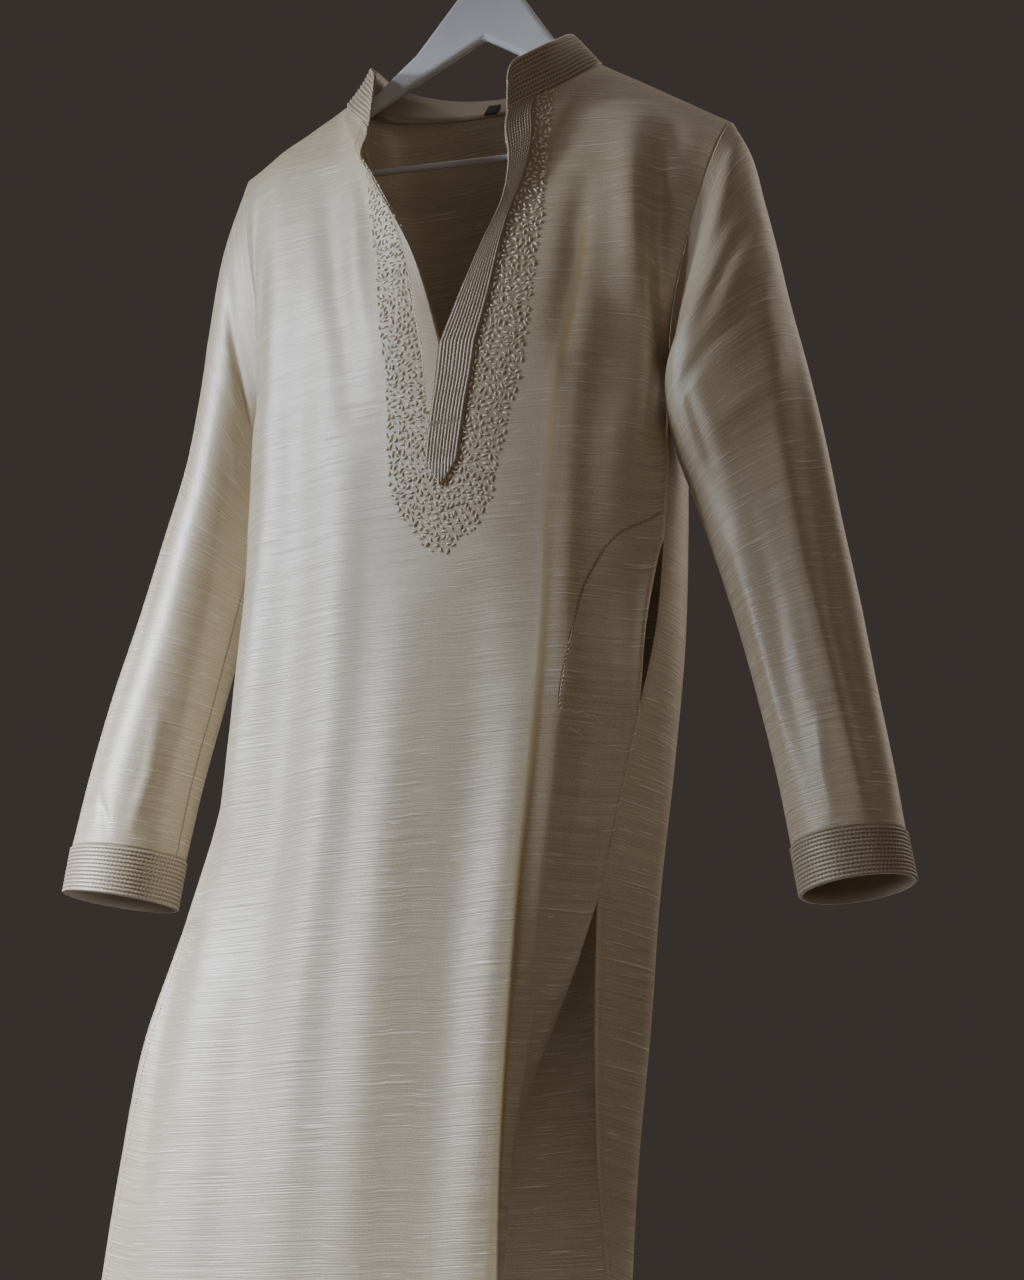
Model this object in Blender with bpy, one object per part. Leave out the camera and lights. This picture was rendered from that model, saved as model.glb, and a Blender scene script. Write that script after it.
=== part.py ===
# Long-sleeved kurta tunic with a quilted band collar, cuffs and placket, hanging on a white hanger.
# Metres, +Z up. The origin is where a rail touches the inside of the hanger's hook.
# -Y is the front; +X is the wearer's left, so "left" and "right" in the names are the wearer's.

import math

import bmesh
import bpy
import numpy as np

# ---- cloth and seams ----
CLOTH = 0.0012  # wall of the single cloth layers
QUILT = 0.0018  # wall of the quilted bands, between their ribs
RIB = 0.0006  # height of a rib over that wall
SEAM = 0.0003  # each cut edge stands back this far from its seam line
LAY = 0.0007  # between a panel and what lies on it

# ---- body, from the armholes down: plan points for each level ----
UNDERARM = -0.460
SLIT_TOP = -0.910
HEM = -1.235
SEWN_LEVELS = (-0.460, -0.500, -0.540, -0.580, -0.620, -0.665, -0.710, -0.760, -0.810, -0.860, -0.910)
SLIT_LEVELS = (-0.950, -1.000, -1.050, -1.110, -1.170, -1.235)
YOKE_ROWS = 13  # rows of the panels between the underarm level and the shoulders

# columns: z, edge_right, chest_right, inner_right, centre, inner_left, crease, pocket
FRONT_X = (
    (-0.460, -0.199, -0.135, -0.052, -0.002, 0.050, 0.099, 0.143),
    (-0.540, -0.198, -0.135, -0.055, -0.002, 0.046, 0.095, 0.142),
    (-0.620, -0.200, -0.138, -0.060, -0.005, 0.042, 0.088, 0.133),
    (-0.700, -0.204, -0.139, -0.062, -0.007, 0.038, 0.084, 0.127),
    (-0.800, -0.204, -0.140, -0.065, -0.010, 0.034, 0.075, 0.108),
    (-0.910, -0.206, -0.145, -0.071, -0.017, 0.027, 0.063, 0.088),
    (-1.000, -0.225, -0.158, -0.080, -0.025, 0.020, 0.056, 0.069),
    (-1.100, -0.240, -0.170, -0.089, -0.032, 0.014, 0.050, 0.047),
    (-1.235, -0.252, -0.180, -0.095, -0.036, 0.010, 0.047, 0.034),
)
FRONT_Y = (
    (-0.460, -0.033, -0.072, -0.089, -0.093, -0.093, -0.089, -0.060),
    (-0.540, -0.034, -0.074, -0.088, -0.093, -0.094, -0.090, -0.064),
    (-0.620, -0.036, -0.075, -0.087, -0.091, -0.093, -0.090, -0.066),
    (-0.700, -0.041, -0.076, -0.087, -0.090, -0.092, -0.090, -0.067),
    (-0.800, -0.048, -0.076, -0.087, -0.090, -0.092, -0.090, -0.067),
    (-0.910, -0.054, -0.076, -0.087, -0.089, -0.091, -0.090, -0.065),
    (-1.000, -0.060, -0.077, -0.087, -0.089, -0.091, -0.090, -0.061),
    (-1.100, -0.064, -0.079, -0.088, -0.089, -0.091, -0.090, -0.055),
    (-1.235, -0.066, -0.080, -0.088, -0.089, -0.091, -0.090, -0.054),
)
# columns: z, side_left, back_left, back_centre, back_right, side_right
BACK_X = (
    (-0.460, 0.166, 0.095, -0.010, -0.110, -0.186),
    (-0.540, 0.174, 0.112, -0.010, -0.120, -0.190),
    (-0.620, 0.172, 0.115, -0.015, -0.125, -0.194),
    (-0.700, 0.167, 0.113, -0.020, -0.130, -0.200),
    (-0.800, 0.154, 0.110, -0.025, -0.135, -0.204),
    (-0.910, 0.139, 0.100, -0.030, -0.140, -0.210),
    (-1.000, 0.132, 0.096, -0.035, -0.150, -0.215),
    (-1.100, 0.123, 0.090, -0.040, -0.160, -0.220),
    (-1.235, 0.116, 0.084, -0.040, -0.165, -0.230),
)
BACK_Y = (
    (-0.460, 0.028, 0.062, 0.066, 0.062, 0.036),
    (-0.540, 0.010, 0.062, 0.068, 0.064, 0.036),
    (-0.620, 0.012, 0.062, 0.068, 0.064, 0.034),
    (-0.700, 0.012, 0.062, 0.068, 0.064, 0.030),
    (-0.800, 0.010, 0.058, 0.066, 0.062, 0.024),
    (-0.910, 0.008, 0.054, 0.064, 0.060, 0.020),
    (-1.000, 0.006, 0.050, 0.062, 0.060, 0.032),
    (-1.100, 0.004, 0.048, 0.060, 0.062, 0.040),
    (-1.235, 0.002, 0.046, 0.060, 0.064, 0.046),
)
# columns: z, left_x, left_y, right_x, right_y
SIDE_SEAMS = (
    (-0.460, 0.166, -0.005, -0.190, 0.008),
    (-0.540, 0.169, -0.032, -0.196, 0.005),
    (-0.620, 0.166, -0.035, -0.203, 0.000),
    (-0.700, 0.158, -0.035, -0.212, -0.010),
    (-0.800, 0.134, -0.036, -0.219, -0.020),
    (-0.910, 0.107, -0.035, -0.242, -0.036),
)
FRONT_SLITS = (
    (-0.910, 0.107, -0.035, -0.242, -0.036),
    (-1.000, 0.069, -0.027, -0.271, -0.040),
    (-1.100, 0.029, -0.023, -0.287, -0.042),
    (-1.235, 0.008, -0.024, -0.304, -0.042),
)
BACK_SLITS = (
    (-0.910, 0.107, -0.035, -0.242, -0.036),
    (-1.000, 0.102, -0.030, -0.238, -0.004),
    (-1.100, 0.103, -0.030, -0.244, 0.006),
    (-1.235, 0.112, -0.030, -0.254, 0.014),
)

# ---- neck, shoulders and armholes ----
# The collar's seam from its right end round the back to its left end, and the collar's top edge over it.
# columns: x, y, z, top_x, top_y, top_z
NECK_STATIONS = (
    (-0.079, -0.072, -0.233, -0.071, -0.079, -0.190),  # right end
    (-0.110, -0.042, -0.196, -0.089, -0.047, -0.162),
    (-0.128, 0.000, -0.167, -0.099, -0.002, -0.141),  # right neck point
    (-0.116, 0.032, -0.166, -0.100, 0.040, -0.132),
    (-0.070, 0.048, -0.169, -0.066, 0.067, -0.136),
    (-0.014, 0.051, -0.172, -0.014, 0.076, -0.141),  # centre back
    (0.045, 0.048, -0.173, 0.042, 0.068, -0.141),
    (0.090, 0.032, -0.170, 0.078, 0.042, -0.139),
    (0.108, 0.000, -0.172, 0.085, 0.002, -0.140),  # left neck point
    (0.086, -0.042, -0.209, 0.080, -0.050, -0.172),
    (0.047, -0.072, -0.243, 0.051, -0.081, -0.204),  # left end
)
NECK_POINT_RIGHT, NECK_POINT_LEFT = 2, 8
SHOULDER_TIP_LEFT = (0.223, 0.003, -0.252)
SHOULDER_TIP_RIGHT = (-0.226, 0.003, -0.222)
SHOULDER_SHARES = (0.0, 0.40, 0.72, 1.0)  # where the panels' columns meet the shoulder seam
ARMHOLE_FRONT_LEFT = (0.002, -0.038, 0.002)  # bulge of each armhole at half its height
ARMHOLE_FRONT_RIGHT = (0.005, -0.041, 0.000)
ARMHOLE_BACK_LEFT = (0.000, 0.046, 0.000)
ARMHOLE_BACK_RIGHT = (0.000, 0.044, 0.000)

# The edges of the front opening, from the collar's ends to the bottom of the V.
# columns: z, left_x, left_y, right_x, right_y
OPENING_EDGES = (
    (-0.243, 0.047, -0.072, -0.079, -0.072),
    (-0.262, 0.046, -0.075, -0.083, -0.076),
    (-0.290, 0.050, -0.078, -0.070, -0.079),
    (-0.330, 0.047, -0.082, -0.049, -0.083),
    (-0.375, 0.030, -0.087, -0.028, -0.088),
    (-0.420, 0.013, -0.091, -0.013, -0.091),
    (-0.460, -0.002, -0.093, -0.002, -0.093),
)

# ---- placket, as distances from the opening's edge to the wearer's left ----
BAND_RIBS = 10
# columns: z, inner_edge, outer_edge
BAND_EDGES = (
    (-0.460, 0.000, 0.031),
    (-0.490, -0.003, 0.027),
    (-0.515, -0.007, 0.0225),
    (-0.545, -0.0105, 0.0185),
    (-0.562, -0.0115, 0.0165),
)
BAND_TIP = (-0.583, 0.003)  # level and distance
BAND_START = 0.05  # share of the yoke left free below the collar's seam
STRIP_WIDTH = 0.018
STRIP_END = -0.520
STRIP_END_WIDTH = 0.012

# ---- sleeves: each ring by its outer and inner point and its bulge to the front and back ----
RING_POINTS = 16
# columns: outer_x, outer_y, outer_z, inner_x, inner_y, inner_z, front, back
SLEEVE_LEFT = (
    (0.237, 0.004, -0.283, 0.171, -0.012, -0.474, 0.043, 0.043),
    (0.246, 0.006, -0.325, 0.173, -0.024, -0.485, 0.048, 0.042),
    (0.256, 0.006, -0.375, 0.171, -0.040, -0.500, 0.054, 0.038),
    (0.265, 0.006, -0.428, 0.172, -0.044, -0.522, 0.054, 0.037),
    (0.276, 0.007, -0.480, 0.177, -0.038, -0.555, 0.049, 0.038),
    (0.288, 0.008, -0.545, 0.189, -0.027, -0.598, 0.041, 0.040),
    (0.299, 0.006, -0.615, 0.203, -0.020, -0.648, 0.040, 0.040),
    (0.311, 0.004, -0.685, 0.218, -0.014, -0.705, 0.040, 0.040),
    (0.322, 0.002, -0.760, 0.233, -0.009, -0.773, 0.041, 0.041),
    (0.332, 0.000, -0.825, 0.245, -0.006, -0.835, 0.042, 0.042),
    (0.338, -0.001, -0.872, 0.252, -0.004, -0.881, 0.042, 0.042),
)
CUFF_END_LEFT = (0.3435, -0.001, -0.908, 0.2575, -0.003, -0.9185, 0.042, 0.042)
SLEEVE_RIGHT = (
    (-0.251, 0.011, -0.285, -0.198, 0.018, -0.472, 0.037, 0.044),
    (-0.265, 0.016, -0.360, -0.2045, 0.020, -0.495, 0.037, 0.043),
    (-0.274, 0.018, -0.430, -0.209, 0.020, -0.524, 0.039, 0.043),
    (-0.283, 0.018, -0.490, -0.213, 0.017, -0.560, 0.041, 0.043),
    (-0.298, 0.017, -0.550, -0.218, 0.014, -0.598, 0.043, 0.043),
    (-0.319, 0.013, -0.630, -0.230, 0.011, -0.660, 0.042, 0.042),
    (-0.339, 0.009, -0.700, -0.243, 0.008, -0.720, 0.042, 0.042),
    (-0.354, 0.005, -0.766, -0.257, 0.004, -0.784, 0.042, 0.042),
    (-0.366, 0.001, -0.832, -0.268, 0.001, -0.846, 0.042, 0.042),
)
CUFF_END_RIGHT = (-0.371, 0.000, -0.870, -0.274, 0.000, -0.8865, 0.042, 0.042)
CUFF_RIBS = 12
COLLAR_RIBS = 10
CUFF_POINTS = 20

# ---- pocket bag behind the left front, from the side seam towards the centre ----
MOUTH_TOP, MOUTH_BOTTOM, MOUTH_GAPE = -0.630, -0.773, 0.011
# columns: z, reach
POCKET_OUTLINE = (
    (-0.605, 0.012),
    (-0.612, 0.021),
    (-0.624, 0.033),
    (-0.642, 0.049),
    (-0.665, 0.064),
    (-0.695, 0.067),
    (-0.730, 0.066),
    (-0.760, 0.063),
    (-0.785, 0.060),
)

LABEL_WIDTH, LABEL_HEIGHT = 0.012, 0.020

# ---- hanger, in its own upright frame before the tilt: half outline (x, z) ----
HANGER_THICKNESS = 0.010
HANGER_BEVEL = 0.0045
HANGER_TILT = math.radians(4.0)  # the wearer's left side hangs lower
HOOK_OFFSET = 0.009  # the hook stands this far to the wearer's left of the garment's centre line
HANGER_TOP = (
    (0.000, -0.062), (0.014, -0.064), (0.027, -0.078), (0.037, -0.092), (0.050, -0.111),
    (0.065, -0.1325), (0.086, -0.1525), (0.098, -0.165), (0.110, -0.174),
)
ARM_CLEARANCE = 0.0026  # from the shoulder seam's outer face down to the arm: the cloth and a little air
ARM_START, ARM_END = 0.128, 0.208
HANGER_UNDER = ((0.196, -0.250), (0.196, -0.2405), (0.075, -0.169))
HANGER_APEX = -0.125
BAR_Z, BAR_RADIUS = -0.2445, 0.00175
HOOK_WIRE = 0.0018
HOOK_RADIUS = 0.0200


def smooth(keys, values, at):
    # a curve through a table's rows: cubic, with each row's slope taken from the rows beside it
    keys = np.asarray(keys, float)
    values = np.asarray(values, float).reshape(len(keys), -1)
    at = np.clip(np.asarray(at, float), keys[0], keys[-1])
    steps = np.diff(keys)[:, None]
    secants = np.diff(values, axis=0) / steps
    slopes = np.empty_like(values)
    slopes[0], slopes[-1] = secants[0], secants[-1]
    weights = steps[1:] + steps[:-1]
    slopes[1:-1] = (secants[:-1] * steps[1:] + secants[1:] * steps[:-1]) / weights
    place = np.clip(np.searchsorted(keys, at, side="right") - 1, 0, len(keys) - 2)
    step = steps[place]
    share = ((at - keys[place])[:, None]) / step
    rest = 1.0 - share
    return (values[place] * rest ** 2 * (1 + 2 * share) + values[place + 1] * share ** 2 * (3 - 2 * share)
            + step * share * rest * (slopes[place] * rest - slopes[place + 1] * share))


def chord_keys(points):
    lengths = np.linalg.norm(np.diff(points, axis=0), axis=1)
    return np.concatenate([[0.0], np.cumsum(lengths)])


def through(points, stations):
    # points at fractional station numbers on a smooth curve through the stations
    keys = chord_keys(points)
    return smooth(keys, points, np.interp(stations, np.arange(len(points)), keys))


def level_values(table, z, first, last):
    rows = np.asarray(table)
    return smooth(-rows[:, 0], rows[:, first:last], [-z])[0]


def seam_point(slits, z, side):
    # the side seam down to the top of the slit, then the panel's own slit edge
    table = SIDE_SEAMS if z >= SLIT_TOP else slits
    first = 1 if side == "left" else 3
    return level_values(table, z, first, first + 2)


def front_stations(z):
    inner = np.stack([level_values(FRONT_X, z, 1, 8), level_values(FRONT_Y, z, 1, 8)], axis=1)
    return np.vstack([seam_point(FRONT_SLITS, z, "right"), inner, seam_point(FRONT_SLITS, z, "left")])


def back_stations(z):
    inner = np.stack([level_values(BACK_X, z, 1, 6), level_values(BACK_Y, z, 1, 6)], axis=1)
    return np.vstack([seam_point(BACK_SLITS, z, "left"), inner, seam_point(BACK_SLITS, z, "right")])


FRONT_CENTRE, FRONT_CREASE, FRONT_LAST = 4, 6, 8
BACK_LAST = 6


def closed_below(points, before, after, columns):
    # above the slits each panel's end slopes follow on from the other panel's nearest station
    ring = np.vstack([before, points, after])
    return through(ring, np.asarray(columns) + 1.0)


def front_level(z, columns):
    points = front_stations(z)
    columns = np.asarray(columns, float)
    if z >= SLIT_TOP:
        back = back_stations(z)
        before, after = back[-2], back[1]
    else:
        before, after = 2 * points[0] - points[1], 2 * points[-1] - points[-2]
    to_crease = np.vstack([before, points[:FRONT_CREASE + 1]])
    from_crease = np.vstack([points[FRONT_CREASE:], after])
    plan = np.empty((len(columns), 2))
    past = columns > FRONT_CREASE
    plan[~past] = through(to_crease, columns[~past] + 1.0)
    plan[past] = through(from_crease, columns[past] - FRONT_CREASE)
    return np.column_stack([plan, np.full(len(columns), z)])


def back_level(z, columns):
    points = back_stations(z)
    columns = np.asarray(columns, float)
    if z >= SLIT_TOP:
        front = front_stations(z)
        before, after = front[-2], front[1]
    else:
        before, after = 2 * points[0] - points[1], 2 * points[-1] - points[-2]
    plan = closed_below(points, before, after, columns)
    return np.column_stack([plan, np.full(len(columns), z)])


def neck_point(stations):
    return through(np.asarray(NECK_STATIONS)[:, :3], stations)


def shoulder_point(side, column_steps):
    # along the shoulder seam from the neck point, at whole or fractional columns
    tip = SHOULDER_TIP_LEFT if side == "left" else SHOULDER_TIP_RIGHT
    start = neck_point([NECK_POINT_LEFT if side == "left" else NECK_POINT_RIGHT])[0]
    share = np.interp(column_steps, np.arange(len(SHOULDER_SHARES)), SHOULDER_SHARES)
    return start + share[:, None] * (np.asarray(tip) - start)


def armhole_point(side, face, turn):
    # half an oval from the shoulder tip (turn 0) to the underarm (turn pi), round the front or the back
    tip = np.asarray(SHOULDER_TIP_LEFT if side == "left" else SHOULDER_TIP_RIGHT)
    plan = seam_point(FRONT_SLITS, UNDERARM, side)
    underarm = np.array([plan[0], plan[1], UNDERARM])
    bulges = {
        ("left", "front"): ARMHOLE_FRONT_LEFT, ("right", "front"): ARMHOLE_FRONT_RIGHT,
        ("left", "back"): ARMHOLE_BACK_LEFT, ("right", "back"): ARMHOLE_BACK_RIGHT,
    }
    turn = np.asarray(turn, float)[:, None]
    return (tip + underarm) / 2 + np.cos(turn) * (tip - underarm) / 2 + np.sin(turn) * bulges[side, face]


def fall(top, bottom, leave, arrive, share):
    # the hang of the cloth from the shoulder or neck to the underarm level
    share = share[:, None]
    rest = 1 - share
    return (top * rest ** 2 * (1 + 2 * share) + bottom * share ** 2 * (3 - 2 * share)
            + leave * share * rest ** 2 - arrive * share ** 2 * rest)


def yoke_column(level, column, top, leave, share):
    bottom = level(UNDERARM, [column])[0]
    below = level(UNDERARM - 0.010, [column])[0]
    arrive = (below - bottom) / 0.010 * (top[2] - bottom[2])
    return fall(top, bottom, leave, arrive, share)


OVER_SHOULDER = 0.130  # how far the cloth reaches forward or back off the shoulder seam before it falls


def front_top(side, column):
    # the top edge of the front: the shoulder seam, then the neckline from the neck point to the opening
    sign = 1 if side == "left" else -1
    steps = sign * (column - FRONT_CENTRE) - 1
    if steps >= 0:
        return shoulder_point(side, [steps])[0], np.array([0.0, -OVER_SHOULDER, 0.0])
    stations = {"left": NECK_POINT_LEFT - 2 * steps, "right": NECK_POINT_RIGHT + 2 * steps}
    towards_centre = -steps
    leave = np.array([0.0, -OVER_SHOULDER * (1 - 0.85 * towards_centre), -0.10 * towards_centre])
    return neck_point([stations[side]])[0], leave


def opening_edge(side, share):
    first = 1 if side == "left" else 3
    rows = np.asarray(OPENING_EDGES)
    start = neck_point([len(NECK_STATIONS) - 1 if side == "left" else 0])[0]
    levels = start[2] + share * (UNDERARM - start[2])
    plan = smooth(-rows[:, 0], rows[:, first:first + 2], -levels)
    points = np.column_stack([plan, levels])
    points[0] = start
    return points


def front_yoke(side, columns, share):
    # one half of the front above the underarm level, as rows from the top edge down
    grid = []
    for column in columns:
        top, leave = front_top(side, column)
        grid.append(yoke_column(front_level, column, top, leave, share))
    grid = np.stack(grid, axis=1)
    away = np.abs(np.asarray(columns) - FRONT_CENTRE)
    near_opening = np.clip(1 - away / 2, 0, 1)[None, :, None] ** 2
    near_armhole = np.clip((away - 2) / 2, 0, 1)[None, :, None] ** 2
    centre = int(np.argmin(away))
    outer = int(np.argmax(away))
    to_opening = opening_edge(side, share) - grid[:, centre]
    to_armhole = armhole_point(side, "front", share * math.pi) - grid[:, outer]
    return grid + near_opening * to_opening[:, None] + near_armhole * to_armhole[:, None]


def back_top(column):
    # the top edge of the back: shoulder seam, neckline, shoulder seam
    leave = np.array([0.0, OVER_SHOULDER, 0.0])
    if column <= 2:
        steps = np.interp(2 - column, [0, 1, 2], [0, 1.6, 3])
        return shoulder_point("left", [steps])[0], leave
    if column >= 4:
        steps = np.interp(column - 4, [0, 1, 2], [0, 1.6, 3])
        return shoulder_point("right", [steps])[0], leave
    station = np.interp(column, [2, 4], [NECK_POINT_LEFT, NECK_POINT_RIGHT])
    inwards = 1 - abs(column - 3)
    return neck_point([station])[0], leave * (1 - 0.7 * inwards) + np.array([0, 0, -0.05 * inwards])


def back_yoke(columns, share):
    grid = []
    for column in columns:
        top, leave = back_top(column)
        grid.append(yoke_column(back_level, column, top, leave, share))
    grid = np.stack(grid, axis=1)
    columns = np.asarray(columns, float)
    for side, away in (("left", columns), ("right", BACK_LAST - columns)):
        near = np.clip(1 - away / 2, 0, 1)[None, :, None] ** 2
        outer = int(np.argmin(away))
        to_armhole = armhole_point(side, "back", share * math.pi) - grid[:, outer]
        grid = grid + near * to_armhole[:, None]
    return grid


def spread(counts, start=0.0):
    # column places with a given number of steps between each pair of stations
    places = [start]
    for station, count in enumerate(counts):
        places += [start + station + (step + 1) / count for step in range(count)]
    return np.array(places)


def hung_rows(level, columns, levels):
    return np.stack([level(z, columns) for z in levels], axis=0)


def pull_in(grid, first, last):
    # stand the first and last columns back from their seam lines
    grid = grid.copy()
    for edge, inner, gap in ((0, 1, first), (-1, -2, last)):
        step = grid[:, inner] - grid[:, edge]
        length = np.linalg.norm(step, axis=1, keepdims=True)
        grid[:, edge] += step / np.maximum(length, 1e-9) * gap
    return grid


def below_seam(grid):
    # stand the top row back from the shoulder and neck seams
    step = grid[1] - grid[0]
    grid[0] += step / np.linalg.norm(step, axis=1, keepdims=True) * SEAM
    return grid


def mouth_pull(levels):
    # how far the front's edge stands forward of the seam along the pocket's mouth
    share = np.clip((MOUTH_TOP - np.asarray(levels)) / (MOUTH_TOP - MOUTH_BOTTOM), 0, 1)
    return MOUTH_GAPE * np.sin(math.pi * share) ** 0.8


def yoke_shares():
    # rows lie closer together where the cloth bends over the shoulder
    return np.linspace(0, 1, YOKE_ROWS) ** 1.6


FRONT_STEPS = (5, 3, 3, 3)  # columns between stations, from the centre out
FRONT_NECK_STEPS = FRONT_STEPS[0]
BACK_STEPS = (2, 3, 5, 5, 3, 2)
BACK_SHOULDER_STEPS = BACK_STEPS[0] + BACK_STEPS[1]


def front_half(side):
    # one half of the front, as rows from the top down and columns from the centre outwards
    share = yoke_shares()
    outwards = spread(FRONT_STEPS)
    columns = FRONT_CENTRE + outwards if side == "left" else FRONT_CENTRE - outwards
    yoke = front_yoke(side, columns, share)
    levels = SEWN_LEVELS[1:] + SLIT_LEVELS
    grid = np.vstack([yoke, hung_rows(front_level, columns, levels)])
    if side == "left":
        gaps = np.concatenate([np.zeros(YOKE_ROWS), mouth_pull(levels)])
        step = grid[:, -2] - grid[:, -1]
        grid[:, -1] += step / np.linalg.norm(step, axis=1, keepdims=True) * gaps[:, None]
    grid = pull_in(grid, 0.0, SEAM)
    return below_seam(grid)


def back_whole():
    share = yoke_shares()
    columns = spread(BACK_STEPS)
    levels = SEWN_LEVELS[1:] + SLIT_LEVELS
    grid = np.vstack([back_yoke(columns, share), hung_rows(back_level, columns, levels)])
    grid = pull_in(grid, SEAM, SEAM)
    return below_seam(grid)


def grid_normals(grid, wrap=False):
    # outward normals: columns run to the wearer's left seen from the outside, rows run down
    down = np.gradient(grid, axis=0)
    if wrap:
        across = (np.roll(grid, -1, axis=1) - np.roll(grid, 1, axis=1)) / 2
    else:
        across = np.gradient(grid, axis=1)
    normals = np.cross(down, across)
    return normals / np.linalg.norm(normals, axis=2, keepdims=True)


def soften(normals, passes=3):
    # normals averaged with their neighbours, so that the inner face doesn't fold at tight bends
    for _ in range(passes):
        for axis in (0, 1):
            before = np.roll(normals, 1, axis=axis)
            after = np.roll(normals, -1, axis=axis)
            ends = [slice(None)] * 3
            ends[axis] = 0
            before[tuple(ends)] = normals[tuple(ends)]
            ends[axis] = -1
            after[tuple(ends)] = normals[tuple(ends)]
            normals = (before + 2 * normals + after) / 4
    return normals / np.linalg.norm(normals, axis=2, keepdims=True)


def share_seam(front_normals, back_normals, side):
    # both panels take the same normal along the sewn side seam, so that their cut edges stay parallel
    sewn = slice(YOKE_ROWS - 1, YOKE_ROWS - 1 + len(SEWN_LEVELS))
    back_edge = 0 if side == "left" else -1
    mean = front_normals[sewn, -1] + back_normals[sewn, back_edge]
    mean /= np.linalg.norm(mean, axis=1, keepdims=True)
    front_normals[sewn, -1] = mean
    back_normals[sewn, back_edge] = mean


def stand_shoulder(normals, on_shoulder):
    # along the shoulder seam both panels' edges stand upright, so that they don't meet below the cloth
    normals[0, on_shoulder, 1] = 0.0
    normals[0] /= np.linalg.norm(normals[0], axis=1, keepdims=True)


def make_object(name, vertices, faces, material, smooth_angle=40.0):
    mesh = bpy.data.meshes.new(name)
    mesh.from_pydata(vertices, [], faces)
    work = bmesh.new()
    work.from_mesh(mesh)
    bmesh.ops.delete(work, geom=[corner for corner in work.verts if not corner.link_faces], context="VERTS")
    bmesh.ops.recalc_face_normals(work, faces=work.faces)
    bmesh.ops.triangulate(work, faces=[face for face in work.faces if len(face.verts) > 3])
    work.to_mesh(mesh)
    work.free()
    mesh.shade_smooth()
    mesh.set_sharp_from_angle(angle=math.radians(smooth_angle))
    mesh.materials.append(material)
    piece = bpy.data.objects.new(name, mesh)
    piece.location.x = -HOOK_OFFSET
    bpy.context.collection.objects.link(piece)
    return piece


class Wall:
    # collects the two faces of a cloth wall and the rim round its free edges
    def __init__(self):
        self.vertices = []
        self.faces = []

    def add(self, points):
        first = len(self.vertices)
        flat = np.asarray(points).reshape(-1, 3)
        self.vertices += [tuple(point) for point in flat]
        return np.arange(first, first + len(flat)).reshape(np.asarray(points).shape[:-1])

    def sheet(self, numbers, wrap=False):
        rows, columns = numbers.shape
        for row in range(rows - 1):
            for column in range(columns if wrap else columns - 1):
                beside = (column + 1) % columns
                self.faces.append((numbers[row, column], numbers[row, beside],
                                   numbers[row + 1, beside], numbers[row + 1, column]))

    def rim(self, outer, inner, wrap=False):
        count = len(outer)
        for place in range(count if wrap else count - 1):
            after = (place + 1) % count
            self.faces.append((outer[place], outer[after], inner[after], inner[place]))


def plain_wall(name, outer, thickness, material, wrap=False, normals=None):
    # a single cloth layer: the outer grid and its copy set in by the thickness
    normals = grid_normals(outer, wrap) if normals is None else normals
    wall = Wall()
    out = wall.add(outer)
    into = wall.add(outer - normals * thickness)
    wall.sheet(out, wrap)
    wall.sheet(into, wrap)
    wall.rim(out[0], into[0], wrap)
    wall.rim(out[-1], into[-1], wrap)
    if not wrap:
        wall.rim(out[:, 0], into[:, 0])
        wall.rim(out[:, -1], into[:, -1])
    return make_object(name, wall.vertices, wall.faces, material)


def front_panel(halves, material):
    # both halves joined below the V; each half holds its points and their normals
    split = YOKE_ROWS - 1
    wall = Wall()
    centre_normals = halves["left"][split:, 0, 3:] + halves["right"][split:, 0, 3:]
    centre_normals /= np.linalg.norm(centre_normals, axis=1, keepdims=True)
    numbers = {}
    for side, half in halves.items():
        points, normals = half[:, :, :3], half[:, :, 3:].copy()
        normals[split:, 0] = centre_normals
        for face, depth in (("out", 0.0), ("in", CLOTH)):
            grid = wall.add(points - normals * depth)
            if side == "right":
                grid[split:, 0] = numbers["left", face][split:, 0]
            numbers[side, face] = grid
            wall.sheet(grid)
    for side in halves:
        out, into = numbers[side, "out"], numbers[side, "in"]
        wall.rim(out[0], into[0])
        wall.rim(out[-1], into[-1])
        wall.rim(out[:, -1], into[:, -1])
        wall.rim(out[:split + 1, 0], into[:split + 1, 0])
    return make_object("front_panel", wall.vertices, wall.faces, material)


def quilted_wall(name, outer, inner, material, wrap=False):
    # ribbed outer grid over a plainer inner grid; rows run across the ribs, columns along them
    wall = Wall()
    out = wall.add(outer)
    into = wall.add(inner)
    wall.sheet(out, wrap)
    wall.sheet(into, wrap)
    wall.rim(out[0], into[0], wrap)
    wall.rim(out[-1], into[-1], wrap)
    if not wrap:
        for column in (0, -1):
            wall.faces.append(tuple(out[:, column]) + tuple(into[::-1, column]))
    return make_object(name, wall.vertices, wall.faces, material, 60.0)


def rib_heights(ribs):
    # groove, crest, groove, crest ... over the given number of ribs
    return np.array([RIB * (step % 2) for step in range(2 * ribs + 1)])


# ---- what lies on the front ----
def panel_walk(halves, row, distance):
    # a point on the front at a fractional row, at a distance from the opening's edge to the wearer's left
    half = halves["left"] if distance >= 0 else halves["right"]
    found = []
    for whole in (int(math.floor(row)), int(math.ceil(row))):
        line = half[whole]
        keys = chord_keys(line[:, :3])
        found.append([np.interp(abs(distance), keys, line[:, axis]) for axis in range(line.shape[1])])
    share = row - math.floor(row)
    return np.asarray(found[0]) * (1 - share) + np.asarray(found[1]) * share


def with_normals(grid, mirrored):
    normals = soften(grid_normals(grid))
    return np.concatenate([grid, -normals if mirrored else normals], axis=2)


def row_of_level(grid, z):
    # the fractional row at which the front's centre line passes a level
    return float(np.interp(-z, -grid[:, 0, 2], np.arange(len(grid))))


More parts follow.
